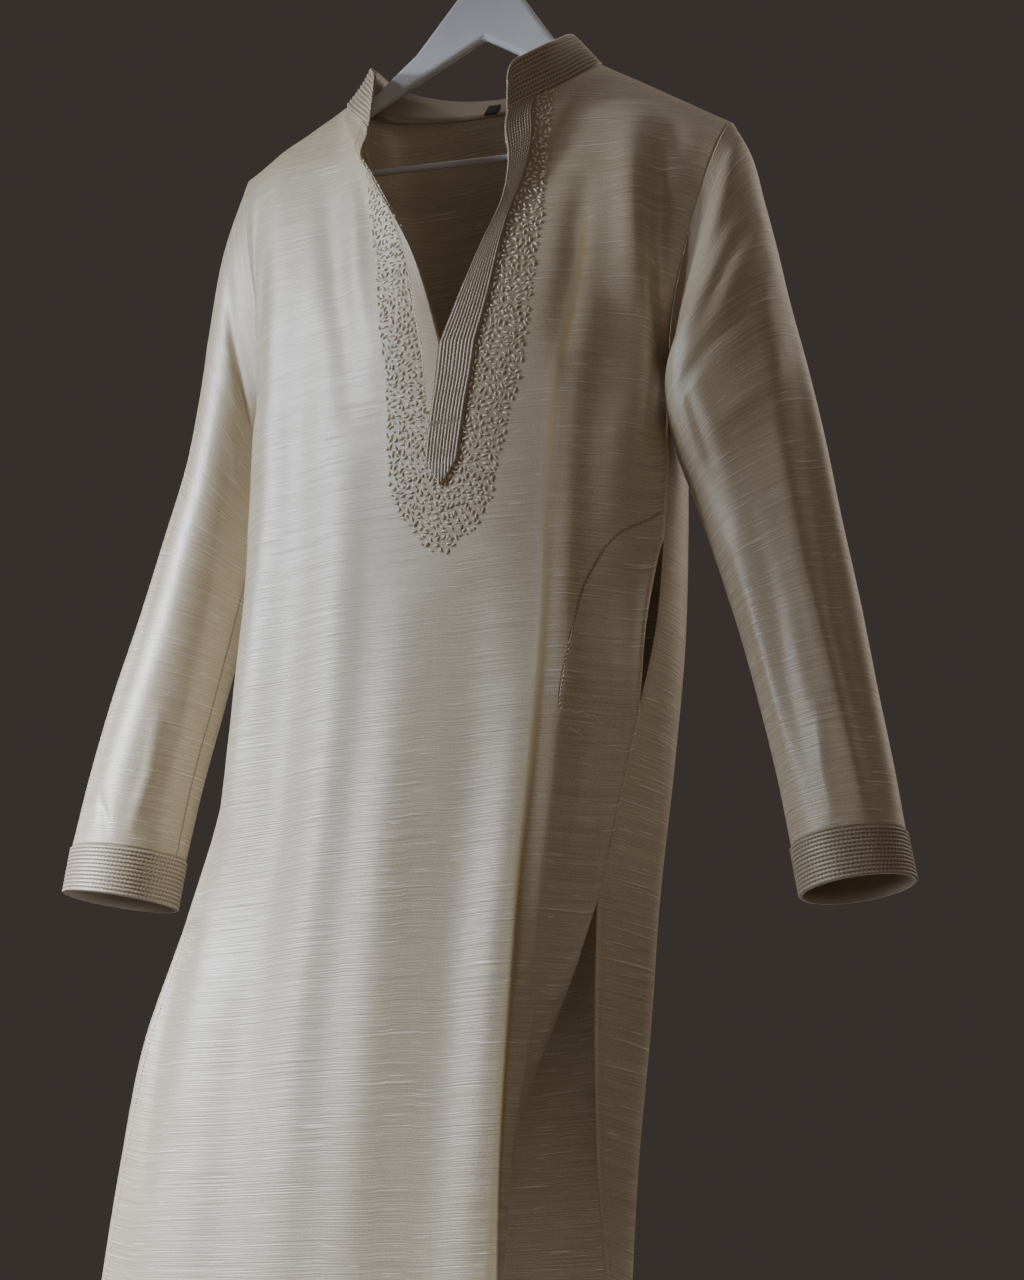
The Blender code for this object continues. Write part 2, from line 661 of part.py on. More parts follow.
def band_edges(z):
    inner, outer = level_values(BAND_EDGES, z, 1, 3)
    end, tip = BAND_EDGES[-1][0], BAND_TIP[0]
    close = np.clip((end - z) / (end - tip), 0, 1)
    return inner + (BAND_TIP[1] - 0.0008 - inner) * close, outer + (BAND_TIP[1] + 0.0008 - outer) * close


def laid_points(halves, row_list, edges, steps):
    # points and normals on the front between two edges, for each row
    places, normals = [], []
    for row, (inner, outer) in zip(row_list, edges):
        reach = outer - inner
        line = np.asarray([panel_walk(halves, row, inner + reach * step / steps) for step in range(steps + 1)])
        places.append(line[:, :3])
        normals.append(line[:, 3:])
    return np.stack(places), np.stack(normals)


def placket_band(halves, material):
    # the quilted band on the wearer's left, running past the V to a pointed tip
    grid = halves["left"]
    start = BAND_START * (YOKE_ROWS - 1)
    levels = list(np.linspace(UNDERARM, BAND_EDGES[-1][0], 6)[1:]) + [-0.570, -0.577, BAND_TIP[0]]
    row_list = [start] + list(np.arange(1, YOKE_ROWS - 0.75, 0.5)) + [row_of_level(grid, z) for z in levels]
    centre_z = np.interp(row_list, np.arange(len(grid)), grid[:, 0, 2])
    edges = [band_edges(z) for z in centre_z]
    edges = [(inner + 0.0003, outer) for inner, outer in edges]
    places, normals = laid_points(halves, row_list, edges, 2 * BAND_RIBS)
    heights = rib_heights(BAND_RIBS)[None, :, None]
    narrow = np.linalg.norm(places[:, -1] - places[:, 0], axis=1) / 0.020
    heights = heights * np.clip(narrow, 0, 1)[:, None, None]
    outer = places + normals * (LAY + QUILT + heights)
    inner = (places + normals * LAY)[:, ::4]
    return quilted_wall("placket_band", outer.transpose(1, 0, 2), inner.transpose(1, 0, 2), material)


def under_placket(halves, material):
    # the plain strip on the wearer's right, passing under the band below the V
    grid = halves["left"]
    levels = np.linspace(UNDERARM, STRIP_END, 4)[1:]
    row_list = [BAND_START * (YOKE_ROWS - 1)] + list(range(1, YOKE_ROWS))
    row_list += [row_of_level(grid, z) for z in levels]
    centre_z = np.interp(row_list, np.arange(len(grid)), grid[:, 0, 2])
    edges = []
    for z in centre_z:
        beside_band = band_edges(z)[0] - 0.0006
        narrowing = np.clip((UNDERARM - z) / (UNDERARM - STRIP_END), 0, 1)
        width = STRIP_WIDTH + (STRIP_END_WIDTH - STRIP_WIDTH) * narrowing
        edges.append((-width, beside_band))
    places, normals = laid_points(halves, row_list, edges, 3)
    wall = places + normals * (LAY + CLOTH)
    return plain_wall("under_placket", wall, CLOTH, material, normals=normals)


# ---- collar ----
END_ROUNDING = 0.012
END_SHARES = (0.0, 0.06, 0.2, 0.42, 0.7)


def collar_columns():
    # station places: those of the panels' neckline columns, with more at the rounded ends
    right = np.linspace(0, NECK_POINT_RIGHT, 6)
    back = np.linspace(NECK_POINT_RIGHT, NECK_POINT_LEFT, 11)
    left = np.linspace(NECK_POINT_LEFT, len(NECK_STATIONS) - 1, 6)
    main = np.concatenate([right, back[1:], left[1:]])
    first = main[0] + np.asarray(END_SHARES) * (main[1] - main[0])
    last = main[-1] - np.asarray(END_SHARES)[::-1] * (main[-1] - main[-2])
    return main, np.concatenate([first, main[1:-1], last])


def along_lines(points, at_main, at):
    return np.column_stack([np.interp(at, at_main, points[:, axis]) for axis in range(points.shape[1])])


def collar_frame():
    # the collar's seam line, its rise to the top edge and its outward normals, for each column
    stations = np.asarray(NECK_STATIONS)
    main, columns = collar_columns()
    base = along_lines(through(stations[:, :3], main), main, columns)
    rise = along_lines(through(stations, main)[:, 3:] - through(stations[:, :3], main), main, columns)
    across = np.gradient(base, axis=0)
    normals = np.cross(rise, across)
    normals /= np.linalg.norm(normals, axis=1, keepdims=True)
    from_end = np.minimum(chord_keys(base), chord_keys(base)[-1] - chord_keys(base))
    inside = np.clip(1 - from_end / END_ROUNDING, 0, 1)
    lengths = np.linalg.norm(rise, axis=1)
    factor = 1 - END_ROUNDING * (1 - np.sqrt(1 - inside ** 2)) / lengths
    lift = rise / lengths[:, None] * (SEAM + 0.0003)
    return base + lift, rise * factor[:, None] - lift, normals


def collar_band(material):
    base, rise, normals = collar_frame()
    steps = np.arange(2 * COLLAR_RIBS + 1) / (2 * COLLAR_RIBS)
    line = base[None] + steps[:, None, None] * rise[None]
    heights = rib_heights(COLLAR_RIBS)[:, None, None]
    outer = line + normals[None] * heights
    inner = line[[0, len(line) // 2, -1]] - normals[None] * QUILT
    return quilted_wall("collar_band", outer, inner, material)


def neck_label(material):
    # a small plain label on the inside of the collar at the centre back
    base, rise, normals = collar_frame()
    middle = int(np.argmin(np.abs(base[:, 0] - NECK_STATIONS[5][0])))
    places, outwards, rises = [], [], []
    for other in (middle - 1, middle, middle + 1):
        length = np.linalg.norm(base[other] - base[middle])
        share = 0.0 if other == middle else LABEL_WIDTH / 2 / length
        places.append(base[middle] + (base[other] - base[middle]) * share)
        rises.append(rise[middle] + (rise[other] - rise[middle]) * share)
        outwards.append(normals[middle] + (normals[other] - normals[middle]) * share)
    places, rises, outwards = np.asarray(places), np.asarray(rises), np.asarray(outwards)
    unit = rises / np.linalg.norm(rises, axis=1, keepdims=True)
    grid = np.stack([places + unit * height for height in (0.002, 0.002 + LABEL_HEIGHT)])
    faces_in = -outwards[None].repeat(2, axis=0)
    outer = grid + faces_in * (QUILT + LAY + 0.0008)
    return plain_wall("neck_label", outer, 0.0008, material, normals=faces_in)


# ---- sleeves and cuffs ----
def ring(row, side, points):
    # an oval ring through a row's outer and inner points
    outer, inner = np.asarray(row[:3]), np.asarray(row[3:6])
    half = (outer - inner) / 2
    unit = half / np.linalg.norm(half)
    forward = np.array([0.0, -1.0, 0.0])
    forward -= unit * forward.dot(unit)
    forward /= np.linalg.norm(forward)
    turn = np.arange(points) * 2 * math.pi / points
    way = -1 if side == "left" else 1
    sway = np.sin(turn) * way
    depth = np.where(sway > 0, row[6], row[7])
    return (outer + inner) / 2 + np.cos(turn)[:, None] * half + (sway * depth)[:, None] * forward


def armhole_ring(side, points):
    turn = np.arange(points) * 2 * math.pi / points
    way = -1 if side == "left" else 1
    front = armhole_point(side, "front", np.minimum(turn, 2 * math.pi - turn))
    back = armhole_point(side, "back", np.minimum(turn, 2 * math.pi - turn))
    loop = np.where((np.sin(turn) * way > 0)[:, None], front, back)
    outwards = 1 if side == "left" else -1
    return loop + np.array([0.0008 * outwards, 0.0, -0.0004])


def sleeve(side, table, material):
    rings = [armhole_ring(side, RING_POINTS)] + [ring(row, side, RING_POINTS) for row in table]
    rings = np.stack(rings)
    places = np.linspace(0, len(rings) - 1, 15)
    grid = np.stack([through(rings[:, point], places) for point in range(RING_POINTS)], axis=1)
    normals = grid_normals(grid, wrap=True)
    middle = grid[0].mean(axis=0)
    spoke = grid[0] - middle
    normals[0] = spoke / np.linalg.norm(spoke, axis=1, keepdims=True)
    return plain_wall("sleeve_" + side, grid, CLOTH, material, wrap=True, normals=normals)


def cuff(side, sleeve_end, cuff_end, material):
    start = ring(sleeve_end, side, CUFF_POINTS)
    end = ring(cuff_end, side, CUFF_POINTS)
    steps = np.linspace(0, 1, 2 * CUFF_RIBS + 1)[:, None, None]
    gap = SEAM + 0.0003
    start = start + (end - start) * gap / np.linalg.norm(end - start, axis=1, keepdims=True)
    line = start[None] * (1 - steps) + end[None] * steps
    normals = grid_normals(line, wrap=True)
    outer = line + normals * (rib_heights(CUFF_RIBS)[:, None, None] + (QUILT - CLOTH) / 2)
    inner = (line - normals * (QUILT + CLOTH) / 2)[[0, -1]]
    return quilted_wall("cuff_" + side, outer, inner, material, wrap=True)


# ---- pocket ----
def pocket_bag(left_half_sewn, material):
    # the bag's inner layer, from the side seam forward under the front, on the wearer's left
    steps = 6
    places, normals = [], []
    for z, reach in POCKET_OUTLINE:
        row = float(np.interp(-z, -left_half_sewn[:, -1, 2], np.arange(len(left_half_sewn))))
        low, high = int(math.floor(row)), int(math.ceil(row))
        line = left_half_sewn[low] * (1 - row + low) + left_half_sewn[high] * (row - low)
        line = line[::-1]
        keys = chord_keys(line[:, :3])
        stops = 0.0015 + (reach - 0.0015) * np.linspace(0, 1, steps + 1)
        read = np.column_stack([np.interp(stops, keys, line[:, axis]) for axis in range(6)])
        places.append(read[:, :3])
        normals.append(read[:, 3:])
    places, normals = np.stack(places), np.stack(normals)
    across = np.sin(np.linspace(0, math.pi, steps + 1))[None, :]
    down = np.sin(np.linspace(0, math.pi, len(POCKET_OUTLINE)))[:, None]
    hollow = 0.0015 * (across * down)[:, :, None]
    outer = places - normals * (CLOTH + LAY + hollow)
    return plain_wall("pocket_bag", outer, CLOTH, material, normals=normals)


# ---- hanger ----
def in_hanger_frame(point):
    x, z = point[0] - HOOK_OFFSET, point[2]
    turn = (math.cos(HANGER_TILT), math.sin(HANGER_TILT))
    return np.array([x * turn[0] - z * turn[1], x * turn[1] + z * turn[0]])


def arm_top(side, reach):
    # a point on the arm's top edge, just under the shoulder seam
    near = in_hanger_frame(neck_point([NECK_POINT_LEFT if side == "left" else NECK_POINT_RIGHT])[0])
    far = in_hanger_frame(SHOULDER_TIP_LEFT if side == "left" else SHOULDER_TIP_RIGHT)
    share = (reach - abs(near[0])) / (abs(far[0]) - abs(near[0]))
    return reach, near[1] + share * (far[1] - near[1]) - ARM_CLEARANCE


def hanger_half(side):
    top = list(HANGER_TOP) + [arm_top(side, ARM_START), arm_top(side, ARM_END - 0.008)]
    end = arm_top(side, ARM_END)
    return top + [(end[0], end[1] - 0.006), (ARM_END, HANGER_UNDER[0][1])] + list(HANGER_UNDER)


def hanger_body(material):
    # a flat bell-shaped hanger with rounded edges
    left = hanger_half("left")
    right = [(-x, z) for x, z in hanger_half("right")[1:]]
    outline = left + [(0.0, HANGER_APEX)] + right[::-1]
    work = bmesh.new()
    corners = [work.verts.new((x, -HANGER_THICKNESS / 2, z)) for x, z in outline]
    face = work.faces.new(corners)
    grown = bmesh.ops.extrude_face_region(work, geom=[face])
    moved = [item for item in grown["geom"] if isinstance(item, bmesh.types.BMVert)]
    bmesh.ops.translate(work, verts=moved, vec=(0, HANGER_THICKNESS, 0))
    bmesh.ops.recalc_face_normals(work, faces=work.faces)
    mesh = bpy.data.meshes.new("hanger_body")
    work.to_mesh(mesh)
    work.free()
    mesh.materials.append(material)
    piece = bpy.data.objects.new("hanger_body", mesh)
    bpy.context.collection.objects.link(piece)
    bevel = piece.modifiers.new("rounded edges", "BEVEL")
    bevel.width = HANGER_BEVEL
    bevel.segments = 3
    bevel.limit_method = "ANGLE"
    bevel.angle_limit = math.radians(60)
    mesh.shade_smooth()
    piece.rotation_euler.y = HANGER_TILT
    return piece


def wire(name, points, radius, material):
    curve = bpy.data.curves.new(name, "CURVE")
    curve.dimensions = "3D"
    curve.bevel_depth = radius
    curve.bevel_resolution = 2
    curve.use_fill_caps = True
    line = curve.splines.new("POLY")
    line.points.add(len(points) - 1)
    for knot, (x, z) in zip(line.points, points):
        knot.co = (x, 0.0, z, 1.0)
    curve.materials.append(material)
    piece = bpy.data.objects.new(name, curve)
    bpy.context.collection.objects.link(piece)
    piece.rotation_euler.y = HANGER_TILT
    return piece


def hanger_bar(material):
    reach = HANGER_UNDER[0][0] - 0.0004
    return wire("hanger_bar", [(reach * share, BAR_Z) for share in (-1.0, 0.0, 1.0)], BAR_RADIUS, material)


def hanger_hook(material):
    # a wire hook: a shank out of the hanger, then a round crown over the rail
    middle = HOOK_WIRE - HOOK_RADIUS
    turns = np.radians(np.linspace(-48, 208, 17))
    crown = [(HOOK_RADIUS * math.cos(turn), middle + HOOK_RADIUS * math.sin(turn)) for turn in turns]
    shank = [(0.0, HANGER_TOP[0][1] + 0.0004), (0.0, HANGER_TOP[0][1] + 0.008)]
    knots = np.asarray(shank + crown)
    points = through(knots, np.linspace(0, len(knots) - 1, 40))
    return wire("hanger_hook", [tuple(point) for point in points], HOOK_WIRE, material)


# ---- materials ----
def plain_material(name, colour, roughness, metallic=0.0):
    material = bpy.data.materials.new(name)
    material.use_nodes = True
    shader = material.node_tree.nodes["Principled BSDF"]
    shader.inputs["Base Color"].default_value = (*colour, 1.0)
    shader.inputs["Roughness"].default_value = roughness
    shader.inputs["Metallic"].default_value = metallic
    return material


def build():
    for old in list(bpy.data.objects):
        bpy.data.objects.remove(old, do_unlink=True)
    silk = plain_material("ivory_silk", (0.74, 0.66, 0.50), 0.45)
    quilted_silk = plain_material("quilted_silk", (0.66, 0.58, 0.43), 0.50)
    white = plain_material("white_lacquer", (0.85, 0.85, 0.85), 0.30)
    steel = plain_material("bright_steel", (0.70, 0.70, 0.72), 0.25, 1.0)
    black = plain_material("black_ribbon", (0.02, 0.02, 0.02), 0.60)

    halves = {
        "left": with_normals(front_half("left"), False),
        "right": with_normals(front_half("right"), True),
    }
    back = back_whole()
    back_normals = soften(grid_normals(back))
    share_seam(halves["left"][:, :, 3:], back_normals, "left")
    share_seam(halves["right"][:, :, 3:], back_normals, "right")
    for half in halves.values():
        stand_shoulder(half[:, :, 3:], slice(FRONT_NECK_STEPS, None))
    stand_shoulder(back_normals, slice(0, BACK_SHOULDER_STEPS + 1))
    stand_shoulder(back_normals, slice(-BACK_SHOULDER_STEPS - 1, None))
    front_panel(halves, silk)
    plain_wall("back_panel", back, CLOTH, silk, normals=back_normals)
    placket_band(halves, quilted_silk)
    under_placket(halves, silk)
    collar_band(quilted_silk)
    neck_label(black)
    sleeve("left", SLEEVE_LEFT, silk)
    sleeve("right", SLEEVE_RIGHT, silk)
    cuff("left", SLEEVE_LEFT[-1], CUFF_END_LEFT, quilted_silk)
    cuff("right", SLEEVE_RIGHT[-1], CUFF_END_RIGHT, quilted_silk)
    pocket_bag(halves["left"], silk)
    hanger_body(white)
    hanger_bar(white)
    hanger_hook(steel)


build()
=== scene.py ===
import math
import random
import bmesh
import bpy
import numpy as np
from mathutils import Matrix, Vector
from mathutils.bvhtree import BVHTree


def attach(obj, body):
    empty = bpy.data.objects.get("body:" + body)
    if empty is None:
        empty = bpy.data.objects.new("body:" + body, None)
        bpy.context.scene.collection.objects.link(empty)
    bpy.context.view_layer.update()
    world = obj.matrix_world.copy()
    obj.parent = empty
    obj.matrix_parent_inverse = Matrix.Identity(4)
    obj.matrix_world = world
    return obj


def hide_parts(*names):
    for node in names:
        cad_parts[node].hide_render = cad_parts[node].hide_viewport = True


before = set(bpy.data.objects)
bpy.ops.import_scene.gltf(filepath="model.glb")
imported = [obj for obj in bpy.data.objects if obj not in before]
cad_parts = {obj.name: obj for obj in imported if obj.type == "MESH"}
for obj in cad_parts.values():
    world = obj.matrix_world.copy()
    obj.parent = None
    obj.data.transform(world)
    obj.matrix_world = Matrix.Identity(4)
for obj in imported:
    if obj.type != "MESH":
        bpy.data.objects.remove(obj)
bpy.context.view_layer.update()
print("kurta: frame loaded,", len(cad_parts), "solids")

# camera, low and to the wearer's left, as the garment is seen on its rail
cameraView = {"place": (0.650, -1.741, -1.289), "tilt": 108.0, "turn": 20.0, "lens": 67.5, "sensor": 36.0}


def placed(name, data):  # an object standing in the scene
    thing = bpy.data.objects.new(name, data)
    bpy.context.scene.collection.objects.link(thing)
    return thing


cameraData = bpy.data.cameras.new("lookCamera")
cameraData.lens = cameraView["lens"]
cameraData.sensor_width = cameraView["sensor"]
lookCamera = placed("lookCamera", cameraData)
lookCamera.location = cameraView["place"]
lookCamera.rotation_euler = (math.radians(cameraView["tilt"]), 0.0, math.radians(cameraView["turn"]))
bpy.context.scene.camera = lookCamera

garment = {
    "hookOffset": 0.009,  # the hook stands this far to the wearer's left of the centre line
    "cloth": 0.0010,
    "underarm": -0.460,
    "slitTop": -0.910,
    "hem": -1.235,
    "overShoulder": 0.130,
    "yokeRows": 110,
    "sewnRows": 104,
    "slitRows": 76,
}
signs = {"left": 1, "right": -1}  # the wearer's sides along x
toHook = np.array([garment["hookOffset"], 0.0, 0.0])
splitRow = garment["yokeRows"] - 1  # the front is open above this row
slitRow = splitRow + garment["sewnRows"] - 1


def metres(rows):  # the tables are written in millimetres
    return np.round(np.array(rows, float) / 1000, 7)


frontTable = {
    # level, then the stations between the side seams, the crease next to last
    "x": metres((
        (-460, -199, -135, -52, -2, 50, 99, 143), (-540, -198, -135, -55, -2, 46, 95, 142),
        (-620, -200, -138, -60, -5, 42, 88, 133), (-700, -204, -139, -62, -7, 38, 84, 127),
        (-800, -204, -140, -65, -10, 34, 75, 108), (-910, -206, -145, -71, -17, 27, 63, 88),
        (-1000, -225, -158, -80, -25, 20, 56, 69), (-1100, -240, -170, -89, -32, 14, 50, 47),
        (-1235, -252, -180, -95, -36, 10, 47, 34))),
    "y": metres((
        (-460, -33, -72, -89, -93, -93, -89, -60), (-540, -34, -74, -88, -93, -94, -90, -64),
        (-620, -36, -75, -87, -91, -93, -90, -66), (-700, -41, -76, -87, -90, -92, -90, -67),
        (-800, -48, -76, -87, -90, -92, -90, -67), (-910, -54, -76, -87, -89, -91, -90, -65),
        (-1000, -60, -77, -87, -89, -91, -90, -61), (-1100, -64, -79, -88, -89, -91, -90, -55),
        (-1235, -66, -80, -88, -89, -91, -90, -54))),
    # level, then x and y of the left and the right edge
    "slits": metres((
        (-910, 107, -35, -242, -36), (-1000, 69, -27, -271, -40), (-1100, 29, -23, -287, -42),
        (-1235, 8, -24, -304, -42))),
    "steps": (24, 13, 13, 16),
    "centre": 4,
    "crease": 6,
    "sides": ("right", "left"),
}
backTable = {
    "x": metres((
        (-460, 166, 95, -10, -110, -186), (-540, 174, 112, -10, -120, -190), (-620, 172, 115, -15, -125, -194),
        (-700, 167, 113, -20, -130, -200), (-800, 154, 110, -25, -135, -204), (-910, 139, 100, -30, -140, -210),
        (-1000, 132, 96, -35, -150, -215), (-1100, 123, 90, -40, -160, -220), (-1235, 116, 84, -40, -165, -230))),
    "y": metres((
        (-460, 28, 62, 66, 62, 36), (-540, 10, 62, 68, 64, 36), (-620, 12, 62, 68, 64, 34),
        (-700, 12, 62, 68, 64, 30), (-800, 10, 58, 66, 62, 24), (-910, 8, 54, 64, 60, 20), (-1000, 6, 50, 62, 60, 32),
        (-1100, 4, 48, 60, 62, 40), (-1235, 2, 46, 60, 64, 46))),
    "slits": metres((
        (-910, 107, -35, -242, -36), (-1000, 102, -30, -238, -4), (-1100, 103, -30, -244, 6),
        (-1235, 112, -30, -254, 14))),
    "steps": (12, 18, 26, 26, 18, 12),
    "last": 6,
    "crease": None,
    "sides": ("left", "right"),
}
sideSeams = metres((
    (-460, 166, -5, -190, 8), (-540, 169, -32, -196, 5), (-620, 166, -35, -203, 0), (-700, 158, -35, -212, -10),
    (-800, 134, -36, -219, -20), (-910, 107, -35, -242, -36)))
neckTable = {
    # x, y and z of the collar's foot and of its top, from the right end round the back to the left end
    "stations": metres((
        (-79, -72, -233, -71, -79, -190), (-110, -42, -196, -89, -47, -162), (-128, 0, -167, -99, -2, -141),
        (-116, 32, -166, -100, 40, -132), (-70, 48, -169, -66, 67, -136), (-14, 51, -172, -14, 76, -141),
        (45, 48, -173, 42, 68, -141), (90, 32, -170, 78, 42, -139), (108, 0, -172, 85, 2, -140),
        (86, -42, -209, 80, -50, -172), (47, -72, -243, 51, -81, -204))),
    "end": {"left": 10, "right": 0},
    "point": {"left": 8, "right": 2},
    "tip": {"left": metres((223, 3, -252)), "right": metres((-226, 3, -222))},
    "shoulderShares": (0.0, 0.40, 0.72, 1.0),
    # level, then x and y of the left and the right edge
    "opening": metres((
        (-243, 47, -72, -79, -72), (-262, 46, -75, -83, -76), (-290, 50, -78, -70, -79), (-330, 47, -82, -49, -83),
        (-375, 30, -87, -28, -88), (-420, 13, -91, -13, -91), (-460, -2, -93, -2, -93))),
}
armholeBulges = {
    ("left", "front"): (0.002, -0.038, 0.002),
    ("right", "front"): (0.005, -0.041, 0.000),
    ("left", "back"): (0.000, 0.046, 0.000),
    ("right", "back"): (0.000, 0.044, 0.000),
}
yokeShare = np.linspace(0, 1, garment["yokeRows"]) ** 1.4
hangLevels = np.concatenate([
    np.linspace(garment["underarm"], garment["slitTop"], garment["sewnRows"])[1:],
    np.linspace(garment["slitTop"], garment["hem"], garment["slitRows"])[1:]])


def eased(share):
    return share * share * (3 - 2 * share)


def unit(rows):
    return rows / np.maximum(np.linalg.norm(rows, axis=-1, keepdims=True), 1e-12)


def hermite(start, end, leave, arrive, share):
    rest = 1 - share
    return start * eased(rest) + end * eased(share) + share * rest * (leave * rest - arrive * share)


def smoothTable(keys, values, at):  # cubic through a table's rows
    keys = np.asarray(keys, float)
    values = np.asarray(values, float).reshape(len(keys), -1)
    at = np.clip(np.asarray(at, float), keys[0], keys[-1])
    steps = np.diff(keys)[:, None]
    secants = np.diff(values, axis=0) / steps
    slopes = np.empty_like(values)
    slopes[0], slopes[-1] = secants[0], secants[-1]
    slopes[1:-1] = (secants[:-1] * steps[1:] + secants[1:] * steps[:-1]) / (steps[1:] + steps[:-1])
    place = np.clip(np.searchsorted(keys, at, side="right") - 1, 0, len(keys) - 2)
    step = steps[place]
    share = (at - keys[place])[:, None] / step
    rest = 1 - share
    return (values[place] * rest ** 2 * (1 + 2 * share) + values[place + 1] * share ** 2 * (3 - 2 * share)
            + step * share * rest * (slopes[place] * rest - slopes[place + 1] * share))


def arcKeys(points):
    return np.concatenate([[0.0], np.cumsum(np.linalg.norm(np.diff(points, axis=0), axis=1))])


def throughStations(points, stations):
    keys = arcKeys(points)
    return smoothTable(keys, points, np.interp(stations, np.arange(len(points)), keys))


def readAlong(line, distances):  # a line's columns at distances along it; the first three are its places
    keys = arcKeys(line[:, :3])
    return np.column_stack([np.interp(distances, keys, column) for column in line.T])


def atLevel(table, z, first=1, last=None):
    rows = np.asarray(table)
    return smoothTable(-rows[:, 0], rows[:, first:last], [-z])[0]


def sidePoint(table, z, side):  # x and y of one side's edge
    first = 1 if side == "left" else 3
    return atLevel(table, z, first, first + 2)


def levelStations(table, z):
    edges = sideSeams if z >= garment["slitTop"] else table["slits"]
    first, last = (sidePoint(edges, z, side) for side in table["sides"])
    return np.vstack([first, np.stack([atLevel(table["x"], z), atLevel(table["y"], z)], axis=1), last])


def levelPoints(table, z, columns):  # points across the front or the back at one level
    points = levelStations(table, z)
    if z >= garment["slitTop"]:  # each face runs on into the other at the seams
        other = levelStations(backTable if table is frontTable else frontTable, z)
        points = np.vstack([other[-2], points, other[1]])
    else:
        points = np.vstack([2 * points[0] - points[1], points, 2 * points[-1] - points[-2]])
    columns = np.asarray(columns, float)
    crease = table["crease"]
    if crease is None:
        plan = throughStations(points, columns + 1.0)
    else:  # the pressed crease is sharp
        before = throughStations(points[:crease + 2], columns + 1.0)
        plan = np.where((columns > crease)[:, None], throughStations(points[crease + 1:], columns - crease), before)
    return np.column_stack([plan, np.full(len(columns), z)])


def neckPoint(station):
    return throughStations(neckTable["stations"][:, :3], [station])[0]


def shoulderPoint(side, steps):
    start = neckPoint(neckTable["point"][side])
    shares = neckTable["shoulderShares"]
    return start + np.interp(steps, np.arange(len(shares)), shares) * (neckTable["tip"][side] - start)


def armholePoint(side, face, turn):
    tip = neckTable["tip"][side]
    under = np.append(sidePoint(sideSeams, garment["underarm"], side), garment["underarm"])
    turn = np.asarray(turn, float)[:, None]
    return (tip + under) / 2 + np.cos(turn) * (tip - under) / 2 + np.sin(turn) * np.asarray(armholeBulges[side, face])


def yokeColumn(table, column, top, leave):  # the hang from the shoulder or neck to the underarm level
    short = 0.010
    bottom, below = (levelPoints(table, garment["underarm"] - drop, [column])[0] for drop in (0.0, short))
    arrive = (below - bottom) / short * (top[2] - bottom[2])
    return hermite(top, bottom, leave, arrive, yokeShare[:, None])


def frontTop(side, column):  # where a front column starts, and the way it leaves
    steps = signs[side] * (column - frontTable["centre"]) - 1
    over = garment["overShoulder"]
    if steps >= 0:
        return shoulderPoint(side, steps), np.array([0.0, -over, 0.0])
    station = neckTable["point"][side] - 2 * signs[side] * steps
    return neckPoint(station), np.array([0.0, -over * (1 + 0.85 * steps), 0.10 * steps])


def backTop(column):
    leave = np.array([0.0, garment["overShoulder"], 0.0])
    for side, steps in (("left", 2 - column), ("right", column - 4)):
        if steps >= 0:
            return shoulderPoint(side, np.interp(steps, [0, 1, 2], [0, 1.6, 3])), leave
    station = np.interp(column, [2, 4], [neckTable["point"][side] for side in signs])
    inwards = 1 - abs(column - 3)
    return neckPoint(station), leave * (1 - 0.7 * inwards) + np.array([0, 0, -0.05 * inwards])


def openingEdge(side):
    start = neckPoint(neckTable["end"][side])
    levels = start[2] + yokeShare * (garment["underarm"] - start[2])
    first = 1 if side == "left" else 3
    rows = neckTable["opening"]
    points = np.column_stack([smoothTable(-rows[:, 0], rows[:, first:first + 2], -levels), levels])
    points[0] = start
    return points


def stationSpread(counts):
    spread = [station + (step + 1) / count for station, count in enumerate(counts) for step in range(count)]
    return np.array([0.0] + spread)


# the pocket's mouth gapes over this many columns in from the seam
pocketMouth = {"top": -0.630, "bottom": -0.773, "gape": 0.011, "swell": 0.0011, "columns": 12}
pocketSeams = {
    # the bag's stitch lines on the front: across and level, in millimetres of cloth
    "pocketCurve": (
        (185.4, -608), (173.5, -613.1), (162, -619), (147, -627), (132.7, -642.5), (123.7, -658), (114.7, -676.5),
        (109.2, -696), (103.1, -719.9), (99, -739), (95.3, -760), (94.4, -776)),
    "pocketFoot": (
        (94.4, -774.9), (98.5, -776.2), (103, -774.4), (108.5, -776.8), (113, -774.8), (118.5, -777.8),
        (122.5, -776.4), (127.5, -781.2), (133, -782.2), (137.2, -787.4), (143, -787.2), (148, -792.6),
        (152.5, -791.2), (157.1, -793.9)),
    "pocketSecond": (
        (101.1, -787.4), (113, -793.5), (134.2, -801), (154.5, -806.3)),
}


def frontHalf(side):  # rows run down, columns from the centre out
    outwards = stationSpread(frontTable["steps"])
    columns = frontTable["centre"] + signs[side] * outwards
    yoke = np.stack([yokeColumn(frontTable, c, *frontTop(side, c)) for c in columns], axis=1)
    nearOpening = np.clip(1 - outwards / 2, 0, 1)[None, :, None] ** 2
    nearArmhole = np.clip((outwards - 2) / 2, 0, 1)[None, :, None] ** 2
    toOpening = openingEdge(side) - yoke[:, 0]
    toArmhole = armholePoint(side, "front", yokeShare * math.pi) - yoke[:, -1]
    yoke = yoke + nearOpening * toOpening[:, None] + nearArmhole * toArmhole[:, None]
    grid = np.vstack([yoke, np.stack([levelPoints(frontTable, z, columns) for z in hangLevels])])
    if side == "left":
        depth = np.clip((pocketMouth["top"] - hangLevels) / (pocketMouth["top"] - pocketMouth["bottom"]), 0, 1)
        pull = np.append(np.zeros(len(yokeShare)), pocketMouth["gape"] * np.sin(math.pi * depth) ** 0.8)
        step = unit(grid[:, -6] - grid[:, -1])
        for column in range(pocketMouth["columns"]):
            grid[:, -1 - column] += step * (pull * (1 - column / pocketMouth["columns"]) ** 2)[:, None]
    return grid


